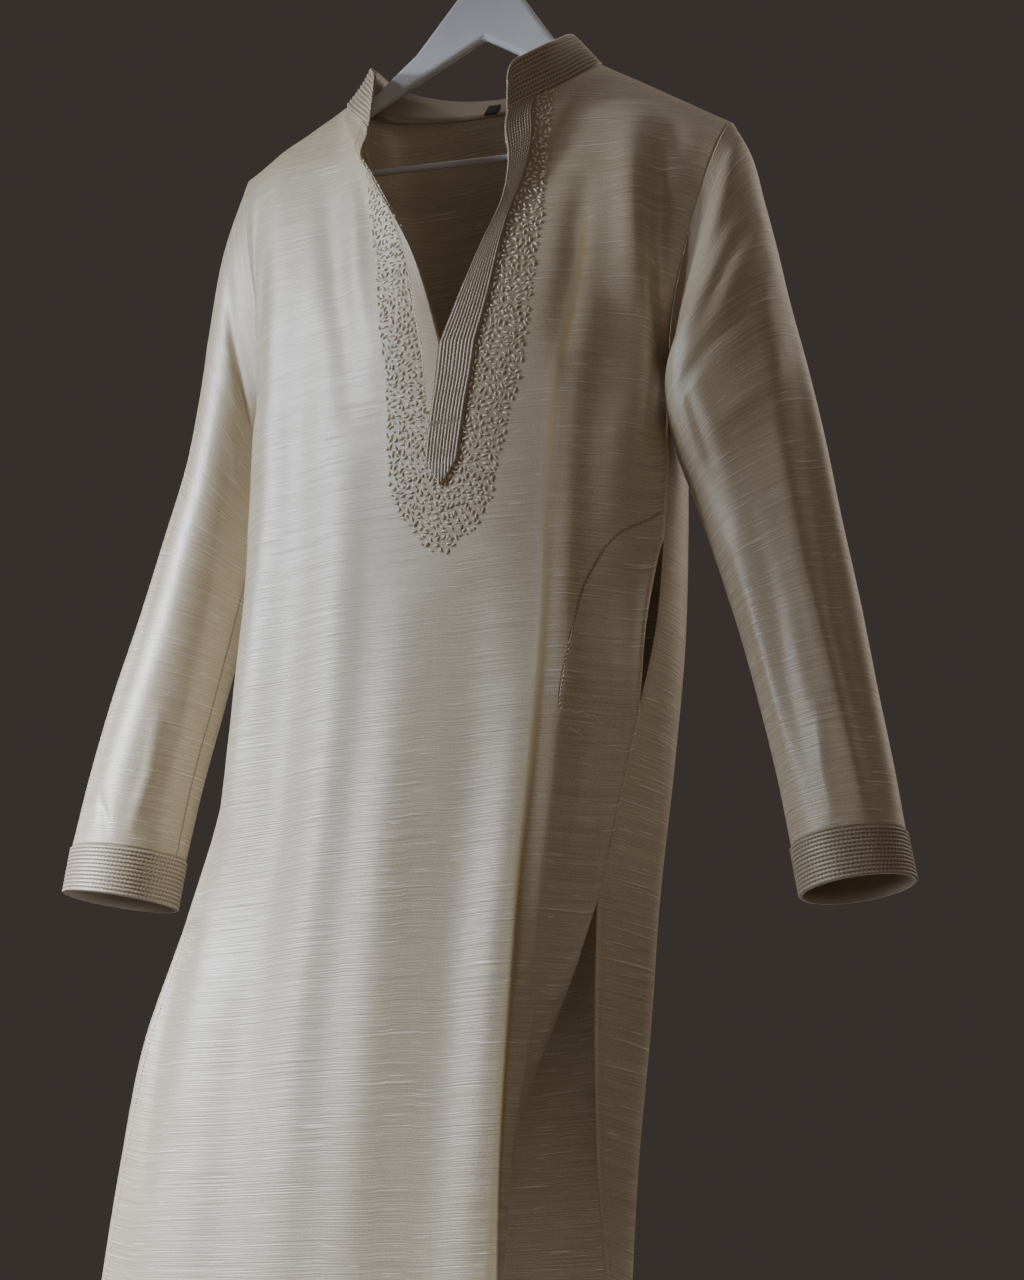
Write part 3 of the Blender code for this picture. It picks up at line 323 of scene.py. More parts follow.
def backWhole():
    columns = stationSpread(backTable["steps"])
    grid = np.stack([yokeColumn(backTable, c, *backTop(c)) for c in columns], axis=1)
    for side, away in (("left", columns), ("right", backTable["last"] - columns)):
        near = np.clip(1 - away / 2, 0, 1)[None, :, None] ** 2
        toArmhole = armholePoint(side, "back", yokeShare * math.pi) - grid[:, int(np.argmin(away))]
        grid = grid + near * toArmhole[:, None]
    return np.vstack([grid, np.stack([levelPoints(backTable, z, columns) for z in hangLevels])])


def softened(values, wrap=False):
    padded = np.concatenate([values[:1], values, values[-1:]], axis=0)
    values = (padded[:-2] + 2 * padded[1:-1] + padded[2:]) / 4
    ends = (values[:, -1:], values[:, :1]) if wrap else (values[:, :1], values[:, -1:])
    padded = np.concatenate([ends[0], values, ends[1]], axis=1)
    return (padded[:, :-2] + 2 * padded[:, 1:-1] + padded[:, 2:]) / 4


def gridNormals(grid, wrap=False, passes=0):
    down = np.gradient(grid, axis=0)
    across = (np.roll(grid, -1, axis=1) - np.roll(grid, 1, axis=1)) / 2 if wrap else np.gradient(grid, axis=1)
    normals = unit(np.cross(down, across))
    for _ in range(passes):
        normals = softened(normals, wrap)
    return unit(normals)


def clothMap(grid, zeroRow=0, start=0.0):  # u along the weft, v along the warp, in metres of cloth
    across = np.linalg.norm(np.diff(grid, axis=1), axis=2)
    u = np.concatenate([np.zeros((len(grid), 1)), np.cumsum(across, axis=1)], axis=1) + start
    down = np.linalg.norm(np.diff(grid, axis=0), axis=2)
    v = np.concatenate([np.zeros((1, grid.shape[1])), np.cumsum(down, axis=0)], axis=0)
    return np.stack([u, garment["underarm"] - (v - v[zeroRow])], axis=2)


def nearLine(cloth, line):  # distance to a bent line, the side it lies on, and how far along in steps
    best = np.full(cloth.shape[:2], 1e9)
    beside, along = np.zeros(best.shape), np.zeros(best.shape)
    for place in range(len(line) - 1):
        way = line[place + 1] - line[place]
        off = cloth - line[place]
        share = np.clip((off @ way) / max(way @ way, 1e-12), 0, 1)
        away = np.linalg.norm(cloth - (line[place] + share[..., None] * way), axis=2)
        closer = away < best
        best = np.where(closer, away, best)
        beside = np.where(closer, way[0] * off[..., 1] - way[1] * off[..., 0], beside)
        along = np.where(closer, place + share, along)
    return best, beside, along


def foldHeights(cloth, folds, around=0.0):  # soft troughs (negative) and ridges, each along a bent line
    height = np.zeros(cloth.shape[:2])
    for line, width, depth in folds:
        for shift in ((-around, 0.0, around) if around else (0.0,)):
            knots = metres(line) + np.array([shift, 0.0])
            keys = arcKeys(knots)
            fine = np.column_stack([np.interp(np.linspace(0, keys[-1], 25), keys, knots[:, k]) for k in (0, 1)])
            best, _, along = nearLine(cloth, fine)
            taper = np.sin(math.pi * np.clip(0.06 + 0.88 * (along / (len(fine) - 1)), 0, 1)) ** 0.7
            halfWidth, rise = metres((width, depth))
            height += rise * taper * np.exp(-(best / halfWidth) ** 2)
    return height


def lineField(cloth, line, fade):  # signed distance from a line on the cloth, and how far it counts
    keys = arcKeys(line)
    fine = smoothTable(keys, line, np.linspace(0, keys[-1], 40))
    best, beside, along = nearLine(cloth, fine)
    keys = arcKeys(fine)
    along = np.interp(along, np.arange(len(keys)), keys)
    counts = np.clip(np.minimum(along, keys[-1] - along) / fade, 0, 1)
    return np.stack([np.copysign(best, beside), counts, np.zeros(best.shape)], axis=2)


def pointValues(piece, name, grids):  # one value or vector for each point, in the order the grids were added
    values = np.concatenate([np.asarray(grid, float).reshape(-1, 3 if np.ndim(grid) == 3 else 1) for grid in grids])
    kind, field = ("FLOAT_VECTOR", "vector") if values.shape[1] == 3 else ("FLOAT", "value")
    piece.data.attributes.new(name, kind, "POINT").data.foreach_set(field, values.ravel())


def newMesh(name, points, faces, material, cloth=None):
    mesh = bpy.data.meshes.new(name)
    mesh.from_pydata(np.asarray(points).tolist(), [], [tuple(dict.fromkeys(face)) for face in faces])
    mesh.polygons.foreach_set("use_smooth", [True] * len(mesh.polygons))
    if cloth is not None:
        layer = mesh.uv_layers.new(name="cloth")
        corners = np.empty(len(mesh.loops), int)
        mesh.loops.foreach_get("vertex_index", corners)
        layer.data.foreach_set("uv", np.asarray(cloth, float)[corners].ravel())
    mesh.materials.append(material)
    piece = placed(name, mesh)
    piece.location.x = -garment["hookOffset"]
    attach(piece, "root")
    return piece


class ShellParts:  # points, cloth coordinates and faces of one shell
    def __init__(self):
        self.points, self.cloth, self.faces, self.count = [], [], [], 0

    def grid(self, points, cloth):
        numbers = np.arange(self.count, self.count + points.shape[0] * points.shape[1]).reshape(points.shape[:2])
        self.points.append(points.reshape(-1, 3))
        self.cloth.append(cloth.reshape(-1, 2))
        self.count += numbers.size
        return numbers

    def sheet(self, numbers, wrap=False):
        beside = np.roll(numbers, -1, axis=1) if wrap else numbers[:, 1:]
        here = numbers if wrap else numbers[:, :-1]
        self.faces.append(np.stack([here[:-1], beside[:-1], beside[1:], here[1:]], axis=2).reshape(-1, 4))

    def rim(self, first, second, wrap=False):
        if wrap:
            first, second = np.append(first, first[0]), np.append(second, second[0])
        self.faces.append(np.stack([first[:-1], first[1:], second[1:], second[:-1]], axis=1))

    def layers(self, outer, inner, cloth, innerCloth=None, wrap=False, closed=True):  # two grids and their rims
        out, inside = self.grid(outer, cloth), self.grid(inner, cloth if innerCloth is None else innerCloth)
        self.sheet(out, wrap)
        self.sheet(inside, wrap)
        self.rim(out[0], inside[0], wrap)
        self.rim(out[-1], inside[-1], wrap)
        if closed and not wrap:
            self.rim(out[:, 0], inside[:, 0])
            self.rim(out[:, -1], inside[:, -1])
        return out, inside

    def build(self, name, material):
        return newMesh(name, np.vstack(self.points), np.vstack(self.faces).tolist(), material, np.vstack(self.cloth))


def outwardFaces(piece):
    work = bmesh.new()
    work.from_mesh(piece.data)
    bmesh.ops.delete(work, geom=[corner for corner in work.verts if not corner.link_faces], context="VERTS")
    bmesh.ops.recalc_face_normals(work, faces=work.faces)
    work.to_mesh(piece.data)
    work.free()


def clothShell(name, outer, normals, cloth, material, wrap=False):
    parts = ShellParts()
    parts.layers(outer, outer - normals * garment["cloth"], cloth, wrap=wrap)
    piece = parts.build(name, material)
    outwardFaces(piece)
    return piece


# materials
silkLook = {
    "bright": (0.69, 0.595, 0.435),
    "deep": (0.44, 0.35, 0.22),
    # slub: paler thread, whose near-white colour is also a painted highlight on the raised slubs
    "slub": (0.98, 0.95, 0.87),
    "between": (0.36, 0.28, 0.17),  # painted shadow: the dark line under a raised slub
    "creaseShade": (0.46, 0.33, 0.14),  # painted shade: the crease valley darkened to warm tan
    "sewn": (0.22, 0.165, 0.10),  # painted shade in the sunk line of a row of stitches and in the quilting troughs
    "stitchGroundShade": (0.43, 0.345, 0.225),  # painted shade on the ground between the vermicelli stitches
    "insideShade": (0.31, 0.23, 0.135),  # painted shade on the inner side of collar and cuffs, which are the same silk
    "roughness": 0.44,
    "ior": 2.1,
    "ribHeight": 0.00060,
    "creaseWidth": 0.0054,
    "seamWidth": 0.0010,
}
# the band's painted shade in its quilting troughs is near black
bandLook = dict(silkLook, bright=(0.75, 0.63, 0.46), deep=(0.57, 0.45, 0.29), sewn=(0.050, 0.034, 0.020))
stripLook = dict(silkLook, bright=(0.60, 0.48, 0.31), deep=(0.42, 0.32, 0.19), slub=(0.70, 0.60, 0.44))


class Paint:  # a material's nodes, each made from the sockets or values before it
    def __init__(self, name):
        self.material = bpy.data.materials.new(name)
        self.material.use_nodes = True
        self.tree = self.material.node_tree
        self.shader = self.tree.nodes["Principled BSDF"]

    def feed(self, node, socket, value):
        if isinstance(value, bpy.types.NodeSocket):
            self.tree.links.new(value, node.inputs[socket])
        else:
            node.inputs[socket].default_value = value

    def node(self, kind, inputs=(), **settings):
        node = self.tree.nodes.new("ShaderNode" + kind)
        for key, value in settings.items():
            setattr(node, key, value)
        for socket, value in inputs:
            self.feed(node, socket, value)
        return node

    def coordinates(self, kind):
        return self.node("TexCoord").outputs[kind]

    def noise(self, place, scale, detail=2.0, roughness=0.5, shift=(0.0, 0.0, 0.0)):
        mapping = self.node("Mapping", [("Vector", place), ("Scale", scale), ("Location", shift)])
        return self.node("TexNoise", [
            ("Vector", mapping.outputs["Vector"]), ("Scale", 1.0), ("Detail", detail), ("Roughness", roughness),
        ]).outputs["Fac"]

    def ranged(self, value, low, high, outLow=0.0, outHigh=1.0):
        return self.node("MapRange", [
            ("Value", value), ("From Min", low), ("From Max", high), ("To Min", outLow), ("To Max", outHigh),
        ]).outputs["Result"]

    def maths(self, operation, first, second):
        return self.node("Math", [(0, first), (1, second)], operation=operation).outputs["Value"]

    def summed(self, *parts):  # each socket times its weight
        total = None
        for value, weight in parts:
            part = value if weight == 1 else self.maths("MULTIPLY", value, weight)
            total = part if total is None else self.maths("ADD", total, part)
        return total

    def mixed(self, share, first, second):
        colours = [(*value, 1.0) if isinstance(value, tuple) else value for value in (first, second)]
        return self.node("Mix", [(0, share), (6, colours[0]), (7, colours[1])], data_type="RGBA").outputs[2]

    def attribute(self, name, field="Fac"):
        return self.node("Attribute", attribute_name=name).outputs[field]

    def drawnLine(self, name, width, wobble):  # 1 on a line kept as distances at the points, 0 away from it
        field = self.node("SeparateXYZ", [("Vector", self.attribute(name, "Vector"))])
        away = self.maths("ABSOLUTE", self.maths("ADD", field.outputs["X"], wobble), 0.0)
        return self.maths("MULTIPLY", self.ranged(away, width * 0.3, width, 1.0, 0.0), field.outputs["Y"])

    def finish(self, colour, roughness, bump=None, **plain):
        if bump:
            bump = self.node("Bump", [("Strength", bump[1]), ("Distance", bump[2]), ("Height", bump[0])])
            self.feed(self.shader, "Normal", bump.outputs["Normal"])
        for socket, value in dict(plain, Roughness=roughness).items():
            self.feed(self.shader, socket, value)
        self.feed(self.shader, "Base Color", (*colour, 1.0) if isinstance(colour, tuple) else colour)
        return self.material


def rawSilk(name, look, slubs=1.0, ribs=1.0, seams=None, crease=None):
    paint = Paint(name)
    cloth = paint.coordinates("UV")
    weft = paint.noise(cloth, (13.0, 960.0, 1.0), 1.0)
    cord = paint.noise(cloth, (3.4, 340.0, 1.0), 1.0, 0.6)
    warp = paint.noise(cloth, (1300.0, 30.0, 1.0), 1.0)
    grain = paint.noise(cloth, (620.0, 900.0, 5.0), 0.0)
    patch = paint.noise(cloth, (7.0, 11.0, 1.0), 2.0)
    longScale, shortScale = (15.0, 600.0, 3.0), (40.0, 760.0, 7.0)
    longSlub = paint.ranged(paint.noise(cloth, longScale, 0.0), 0.715, 0.765)
    shortSlub = paint.ranged(paint.noise(cloth, shortScale, 0.0), 0.745, 0.80)
    some = paint.ranged(patch, 0.36, 0.52)
    slub = paint.maths("MAXIMUM", paint.maths("MULTIPLY", longSlub, some), shortSlub)
    # painted shadow on the cloth just under each raised slub
    under = paint.ranged(paint.noise(cloth, longScale, 0.0, shift=(0.0, 0.80, 0.0)), 0.66, 0.74)
    under = paint.maths("MULTIPLY", under, some)
    thread = paint.summed((weft, 0.58), (cord, 0.12), (grain, 0.30))
    colour = paint.mixed(paint.ranged(thread, 0.38, 0.62), look["deep"], look["bright"])
    colour = paint.mixed(paint.ranged(patch, 0.25, 0.75, 0.0, 0.35), colour, look["bright"])
    colour = paint.mixed(paint.maths("MULTIPLY", under, 0.36 * slubs), colour, look["between"])
    # the slubs' near-white colour: paler thread and a painted highlight
    colour = paint.mixed(paint.maths("MULTIPLY", slub, 0.78 * slubs), colour, look["slub"])
    height = paint.summed((weft, 0.60 * ribs), (cord, 0.25 * ribs), (slub, 0.34 * slubs), (warp, 0.16))
    rough = paint.ranged(thread, 0.3, 0.7, look["roughness"] + 0.07, look["roughness"] - 0.05)
    if crease:
        wobble = paint.ranged(weft, 0.3, 0.7, -0.0010, 0.0010)
        # painted shade along the crease valley; the crease is also a little rougher
        creaseShade = paint.drawnLine(crease, look["creaseWidth"], wobble)
        colour = paint.mixed(paint.maths("MULTIPLY", creaseShade, 0.85), colour, look["creaseShade"])
        rough = paint.summed((rough, 1), (creaseShade, 0.2))
    # painted shade along sunk seam lines, painted highlight along raised ones
    for seam, (tint, share, depth) in (seams or {}).items():
        line = paint.drawnLine(seam, look["seamWidth"], 0.0)
        colour = paint.mixed(paint.maths("MULTIPLY", line, share), colour, look[tint])
        height = paint.maths("SUBTRACT", height, paint.maths("MULTIPLY", line, depth))
    # painted shade: on the ground between vermicelli stitches, in the quilting troughs, and over the inner side of
    # collar and cuffs
    for mark, tint in (("stitchGroundShade", "stitchGroundShade"), ("trough", "sewn"), ("shadedInside", "insideShade")):
        colour = paint.mixed(paint.maths("MULTIPLY", paint.attribute(mark), 0.95), colour, look[tint])
    return paint.finish(colour, rough, (height, 0.8, look["ribHeight"]), IOR=look["ior"])


def grainy(name, first, second, scale, detail, span, roughness, bump=None, fine=None, **plain):
    paint = Paint(name)
    place = paint.coordinates("Object")
    cloud = paint.noise(place, scale, detail)
    grain = paint.noise(place, *fine) if fine else cloud
    if isinstance(roughness, tuple):
        roughness = paint.ranged(grain, *roughness)
    colour = paint.mixed(paint.ranged(cloud, *span), first, second)
    return paint.finish(colour, roughness, bump and (grain, *bump), **plain)


def plainThread(name, colour, roughness):
    pale = tuple(min(1.0, part * 1.12) for part in colour)
    return grainy(name, colour, pale, (900.0,) * 3, 2.0, (0.3, 0.7), roughness, (0.4, 0.0002), IOR=1.9)


ivorySilk = rawSilk("ivorySlubSilk", silkLook)
# each seam line: its colour, how much of it, and its depth, less than nothing where it stands up; sunk lines get
# painted shade, raised ones a painted highlight
frontSeams = {"pocketCurve": ("sewn", 0.6, 1.6), "pocketFoot": ("slub", 0.70, -1.2), "pocketSecond": ("slub", 0.55, -0.9)}
frontSilk = rawSilk("frontSlubSilk", silkLook, seams=frontSeams, crease="crease")
sleeveSilk = rawSilk("sleeveSlubSilk", silkLook, seams={"seam": ("sewn", 0.6, 1.6)})
bandSilk = rawSilk("quiltedBandSilk", bandLook, slubs=0.2, ribs=0.4)
stripSilk = rawSilk("stripSlubSilk", stripLook, slubs=0.6)
ivoryThread = plainThread("ivoryThread", (0.74, 0.66, 0.52), 0.36)
tanThread = plainThread("tanThread", (0.66, 0.55, 0.39), 0.34)
darkThread = plainThread("darkThread", (0.05, 0.045, 0.04), 0.5)
print("kurta: cloth and thread made")

# front and back
frontLook = {
    # each fold: its line (across, level), half width, and height or depth, in millimetres of cloth
    "folds": (
        (((205, -250), (184, -328), (174, -376), (167, -414), (167, -445), (169, -480), (162, -519), (148, -552),
        (138, -615)), 21, 10), (((240, -262), (213, -327), (201, -382), (199, -421), (202, -458), (199, -507),
        (188, -560)), 14, -7), (((142, -315), (122, -364), (103, -433), (96, -475)), 12, -4.2), (((126, -440),
        (115, -490), (107, -557), (103, -642), (100, -720), (89, -840), (80, -925), (73, -998), (68, -1068),
        (59, -1225)), 11, 5.6), (((30, -660), (26, -800), (10, -960), (-8, -1235)), 26, -4),
        (((68, -760), (44, -960), (24, -1235)), 18, 3), (((146, -800), (124, -930), (106, -1080)), 14, -3),
        (((-168, -262), (-122, -356), (-96, -430), (-86, -500)), 15, -4.2),
        (((-150, -225), (-108, -330), (-80, -420)), 10, 2), (((-250, -205), (-178, -378), (-172, -562), (-187, -731),
        (-216, -896), (-226, -1060)), 20, 4.5), (((-140, -420), (-132, -620), (-146, -820), (-170, -1020),
        (-184, -1235)), 22, -4), (((-205, -600), (-222, -760), (-256, -940), (-262, -1120)), 12, -3.5),
        (((-34, -690), (-50, -900), (-72, -1235)), 24, 3.5),
        (((-88, -560), (-94, -760), (-118, -1000), (-126, -1235)), 20, 3),
        (((-216, -330), (-196, -420), (-204, -500)), 9, -2.5)),
    "crease": (
        (134, -345), (128.7, -364.2), (109.1, -433.3), (103.4, -460), (95.5, -498.8), (89.9, -557.1), (87, -591.2),
        (85.2, -642.2), (84.4, -691.4), (78.9, -762.2), (69.9, -847.6), (63.3, -896.3), (60, -965.5), (53.9, -1013.9),
        (50.3, -1071.9), (46.5, -1122.8), (40, -1232)),
    # the edge curls out from the pocket mouth to the slit: levels it comes and goes at, distance in, half width, height
    "curl": {"levels": (-0.625, -0.665, -0.880, -0.930), "in": 0.0046, "width": 0.0048, "height": 0.0034},
    # nearer the slit it rolls out more widely: levels, distance of the crest in from the edge, width, height
    "roll": {"levels": (-0.660, -0.740, -0.960, -1.100), "in": 0.0070, "width": 0.034, "height": 0.0095},
    "flat": (0.56, 1.02),
    "area": 0.42,
}
backLook = {
    "folds": (
        (((100, -300), (118, -560), (126, -900), (135, -1235)), 22, -5),
        (((175, -330), (180, -700), (186, -1235)), 24, 4.5),
        (((245, -250), (252, -500), (250, -900), (262, -1235)), 26, -4),
        (((330, -300), (325, -620), (332, -1235)), 22, 5),
        (((392, -320), (380, -640), (392, -960), (400, -1235)), 18, -4.5),
        (((70, -640), (60, -860), (62, -1180)), 14, 3.5), (((440, -600), (446, -820), (452, -1160)), 14, 3),
        (((60, -262), (120, -330), (190, -352)), 14, 3), (((450, -250), (388, -322), (320, -350)), 14, 2.8)),
    "flat": (0.53, 1.06),
    "area": 0.49,
}
hemLook = {"slit": 0.0080, "bottom": 0.0140, "layer": 0.0008, "inset": 0.0014, "clear": 0.0001}
# columns and rows over which folds die out at the seams and at the shoulder, and rows below the slit's top
seamEase = {"side": 12, "top": 16, "slit": 34}
yokeEase = {"passes": 26, "rows": 8, "columns": 6, "opening": 5}
smoothing = {"flat": 14, "folded": 6}  # rounds of smoothing of the normals before and after the folds


def heldAtSeams(grid, bothSides=False):  # folds die out where the cloth is sewn
    rows, columns = (np.arange(count) for count in grid.shape[:2])
    sewn = np.clip(1 - (rows - slitRow) / seamEase["slit"], 0, 1)
    fromSide = np.minimum(columns[::-1], columns) if bothSides else columns[::-1]
    easeSide = np.clip((fromSide - 0.5) / seamEase["side"], 0, 1)
    easeTop = np.clip((rows - 0.5) / seamEase["top"], 0, 1)
    return eased(easeTop[:, None] * (1 - sewn[:, None] * (1 - easeSide[None, :])))


def easedYoke(grid):  # the cloth hangs smoothly from the shoulder and neck, its edges held
    rows, columns = (np.arange(count) for count in grid.shape[:2])
    down = np.clip(np.minimum(rows, garment["yokeRows"] + 6 - rows) / yokeEase["rows"], 0, 1)
    across = np.clip(np.minimum(columns - yokeEase["opening"], columns[::-1]) / yokeEase["columns"], 0, 1)
    hold = (down[:, None] * across[None, :])[..., None]
    for _ in range(yokeEase["passes"]):
        grid = grid + hold * (softened(grid) - grid)
    return grid


def betweenLevels(grid, levels):  # 1 between the middle two levels, 0 beyond the outer two
    return np.interp(-grid[..., 2], -np.asarray(levels), (0, 1, 1, 0))


halves = {}
for side, sign in signs.items():
    grid = easedYoke(frontHalf(side))
    cloth = clothMap(grid, splitRow, (sign * grid[:, 0, 0])[:, None])
    cloth[..., 0] *= sign
    normals = gridNormals(grid, passes=smoothing["flat"]) * sign
    height = foldHeights(cloth, frontLook["folds"]) * heldAtSeams(grid)
    lines = {name: np.zeros((*grid.shape[:2], 3)) for name in ("crease", *pocketSeams)}
    if side == "left":
        fromEdge = cloth[:, -1:, 0] - cloth[..., 0]
        curl, roll = frontLook["curl"], frontLook["roll"]
        bulge = np.exp(-((fromEdge - curl["in"]) / curl["width"]) ** 2)
        height += curl["height"] * betweenLevels(grid, curl["levels"]) * bulge
        rise = np.clip(np.minimum(fromEdge / roll["in"], 1 - (fromEdge - roll["in"]) / roll["width"]), 0, 1)
        height += roll["height"] * betweenLevels(grid, roll["levels"]) * eased(rise)
        lines["crease"] = lineField(cloth, metres(frontLook["crease"]), 0.030)
        for name, line in pocketSeams.items():
            lines[name] = lineField(cloth, metres(line), 0.006)
        below = np.interp(-cloth[..., 1], (0.600, 0.612, 0.772, 0.786), (0, 1, 1, 0))
        inner = np.clip(lines["pocketCurve"][..., 0] / 0.006 + 0.5, 0, 1) * np.clip(fromEdge / 0.030, 0, 1)
        height += pocketMouth["swell"] * below * eased(inner)
    halves[side] = {"grid": grid + normals * height[..., None], "cloth": cloth, "lines": lines}
leftHalf, rightHalf = halves.values()
middle = (leftHalf["grid"][splitRow:, 0] + rightHalf["grid"][splitRow:, 0]) / 2
for side, half in halves.items():
    half["grid"][splitRow:, 0] = middle
    half["normals"] = gridNormals(half["grid"], passes=smoothing["folded"]) * signs[side]
middle = unit(leftHalf["normals"][splitRow:, 0] + rightHalf["normals"][splitRow:, 0])
for half in halves.values():
    half["normals"][splitRow:, 0] = middle


def frontShell():
    parts = ShellParts()
    numbers = {}
    for side, half in halves.items():
        for face, depth in (("out", 0.0), ("in", garment["cloth"])):
            points = parts.grid(half["grid"] - half["normals"] * depth, half["cloth"])
            if side == "right":
                points[splitRow:, 0] = numbers["left", face][splitRow:, 0]
            numbers[side, face] = points
            parts.sheet(points)
    for side in halves:
        for edge in (np.s_[0], np.s_[-1], np.s_[:, -1], np.s_[:splitRow + 1, 0]):
            parts.rim(numbers[side, "out"][edge], numbers[side, "in"][edge])
    piece = parts.build("silkFront", frontSilk)
    for name in leftHalf["lines"]:
        pointValues(piece, name, [half["lines"][name] for half in halves.values() for _ in ("out", "in")])
    outwardFaces(piece)
    return piece


silkFront = frontShell()
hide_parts("front_panel")
print("kurta: front sewn,", len(silkFront.data.polygons), "faces")

backGrid = backWhole()
backCloth = clothMap(backGrid, splitRow)
height = foldHeights(backCloth, backLook["folds"]) * heldAtSeams(backGrid, True)
backGrid = backGrid + gridNormals(backGrid, passes=smoothing["flat"]) * height[..., None]
backNormals = gridNormals(backGrid, passes=smoothing["folded"])
silkBack = clothShell("silkBack", backGrid, backNormals, backCloth, ivorySilk)
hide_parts("back_panel")
print("kurta: back sewn,", len(silkBack.data.polygons), "faces")


def stripInwards(grid, normals, distances):  # points and normals at distances in from a grid's last column
    both = np.concatenate([grid, normals], axis=2)[:, ::-1]
    found = np.stack([readAlong(row, distances) for row in both])
    return found[..., :3], found[..., 3:]


def hemEdges(grid, normals, bothSides=False):  # each free edge as a grid whose last column is the edge
    edges = [("slit", grid[slitRow:], normals[slitRow:])]
    if bothSides:
        edges.append(("slit", grid[slitRow:, ::-1], normals[slitRow:, ::-1]))
    return edges + [("bottom", grid.transpose(1, 0, 2), normals.transpose(1, 0, 2))]


def foldedHems(name, edges):  # the turned-in layer inside each free edge
    parts = ShellParts()
    for kind, grid, normals in edges:
        points, up = stripInwards(grid, normals, np.linspace(0.0004, hemLook[kind], 5))
        outer = points - up * (garment["cloth"] + hemLook["clear"])
        parts.layers(outer, outer - up * hemLook["layer"], clothMap(points))
    piece = parts.build(name, ivorySilk)
    outwardFaces(piece)
    return piece


frontEdges = [edge for half in halves.values() for edge in hemEdges(half["grid"], half["normals"])]
backEdges = hemEdges(backGrid, backNormals, True)
frontHems = foldedHems("frontHems", frontEdges)
backHems = foldedHems("backHems", backEdges)
print("kurta: hems turned in")

# sleeves and cuffs
sleeveTable = {
    # outer point of each ring, its inner point, and its depth before and behind
    "left": metres((
        (237, 4, -283, 171, -12, -474, 43, 43), (246, 6, -325, 173, -24, -485, 48, 42),
        (256, 6, -375, 171, -40, -500, 54, 38), (265, 6, -428, 172, -44, -522, 54, 37),
        (276, 7, -480, 177, -38, -555, 49, 38), (288, 8, -545, 189, -27, -598, 41, 40),
        (299, 6, -615, 203, -20, -648, 40, 40), (311, 4, -685, 218, -14, -705, 40, 40),
        (322, 2, -760, 233, -9, -773, 41, 41), (332, 0, -825, 245, -6, -835, 42, 42),
        (338, -1, -872, 252, -4, -881, 42, 42))),
    "right": metres((
        (-251, 11, -285, -198, 18, -472, 37, 44), (-265, 16, -360, -204.5, 20, -495, 37, 43),
        (-274, 18, -430, -209, 20, -524, 39, 43), (-283, 18, -490, -213, 17, -560, 41, 43),
        (-298, 17, -550, -218, 14, -598, 43, 43), (-319, 13, -630, -230, 11, -660, 42, 42),
        (-339, 9, -700, -243, 8, -720, 42, 42), (-354, 5, -766, -257, 4, -784, 42, 42),
        (-366, 1, -832, -268, 1, -846, 42, 42))),
    "ends": {
        "left": metres((343.5, -1, -908, 257.5, -3, -918.5, 42, 42)),
        "right": metres((-371, 0, -870, -274, 0, -886.5, 42, 42)),
    },
    "round": 112,
    "rows": 210,
    "seamColumn": 53,
    # each fold: its line (round the sleeve, down it), half width, and height or depth, in millimetres of cloth
    "folds": {
        "left": (
            (((326, -12), (292, -34), (262, -52)), 12, 3.2), (((310, -75), (272, -88), (236, -112)), 11, -4.2),
            (((306, -108), (262, -134), (200, -142)), 10, -3.4), (((300, -172), (262, -190), (228, -196)), 13, 3),
            (((206, -152), (209, -186), (211, -222)), 4.8, -2), (((218, -160), (224, -200), (226, -240)), 8, 1.6),
            (((296, -120), (278, -220), (272, -330), (280, -430), (290, -536)), 12, 4.2),
            (((322, -150), (306, -260), (300, -380), (312, -530)), 14, -3.6),
            (((238, -240), (236, -330), (232, -420), (238, -520)), 13, -2.6),
            (((205, -290), (208, -380), (214, -480)), 10, 2.2), (((262, -440), (252, -490), (256, -530)), 7, 1.6),
            (((60, -60), (90, -110), (112, -150)), 13, -3.6), (((40, -240), (84, -258), (128, -246)), 10, -3),
            (((50, -275), (94, -290), (140, -280)), 10, 2.8), (((66, -330), (70, -430), (64, -530)), 13, -3.2),
            (((112, -320), (118, -430), (110, -530)), 12, 3)),
        "right": (
            (((46, -14), (71, -73), (81, -205), (88, -332), (82, -441), (85, -505)), 27, 3.4), (((96, -20),
            (122, -97), (138, -242), (146, -358), (148, -450), (142, -505)), 16, -3),
            (((30, -120), (38, -240), (46, -360), (40, -500)), 12, -3), (((60, -40), (96, -62), (130, -90)), 10, -3),
            (((110, -130), (126, -170), (150, -190)), 8, 2), (((104, -395), (112, -450), (106, -505)), 7, 2),
            (((60, -470), (75, -490), (86, -508)), 5, -1.4), (((210, -70), (235, -120), (262, -160)), 13, -3.6),
            (((190, -235), (232, -256), (276, -246)), 10, -3), (((190, -272), (236, -288), (280, -276)), 10, 2.8),
            (((244, -330), (250, -420), (242, -505)), 13, -3.2), (((292, -320), (296, -420), (288, -505)), 12, 2.8)),
    },
    "flat": {"left": (0.34, 0.62), "right": (0.34, 0.62)},
    "area": {"left": 0.155, "right": 0.145},
}
cuffLook = {"ribs": 12, "round": 312, "rib": 0.0010, "thick": 0.0020, "clear": 0.0004, "flat": (0.28, 0.041)}
quilting = {"steps": 4, "pitch": 0.0029, "puff": 0.00026, "shape": 0.62}  # how the cloth puffs up between stitches


def quiltWave(ribs, along, shape):  # ribs counts the rows, along is metres of cloth
    beat = np.sin(along / quilting["pitch"] * 2 * math.pi + np.floor(ribs) * 1.9)
    return np.abs(np.sin(ribs * math.pi)) ** shape, beat


def quiltLift(ribs, along, height):
    wave, beat = quiltWave(ribs, along, quilting["shape"])
    return height * wave + quilting["puff"] * beat * (0.35 + 0.65 * wave)


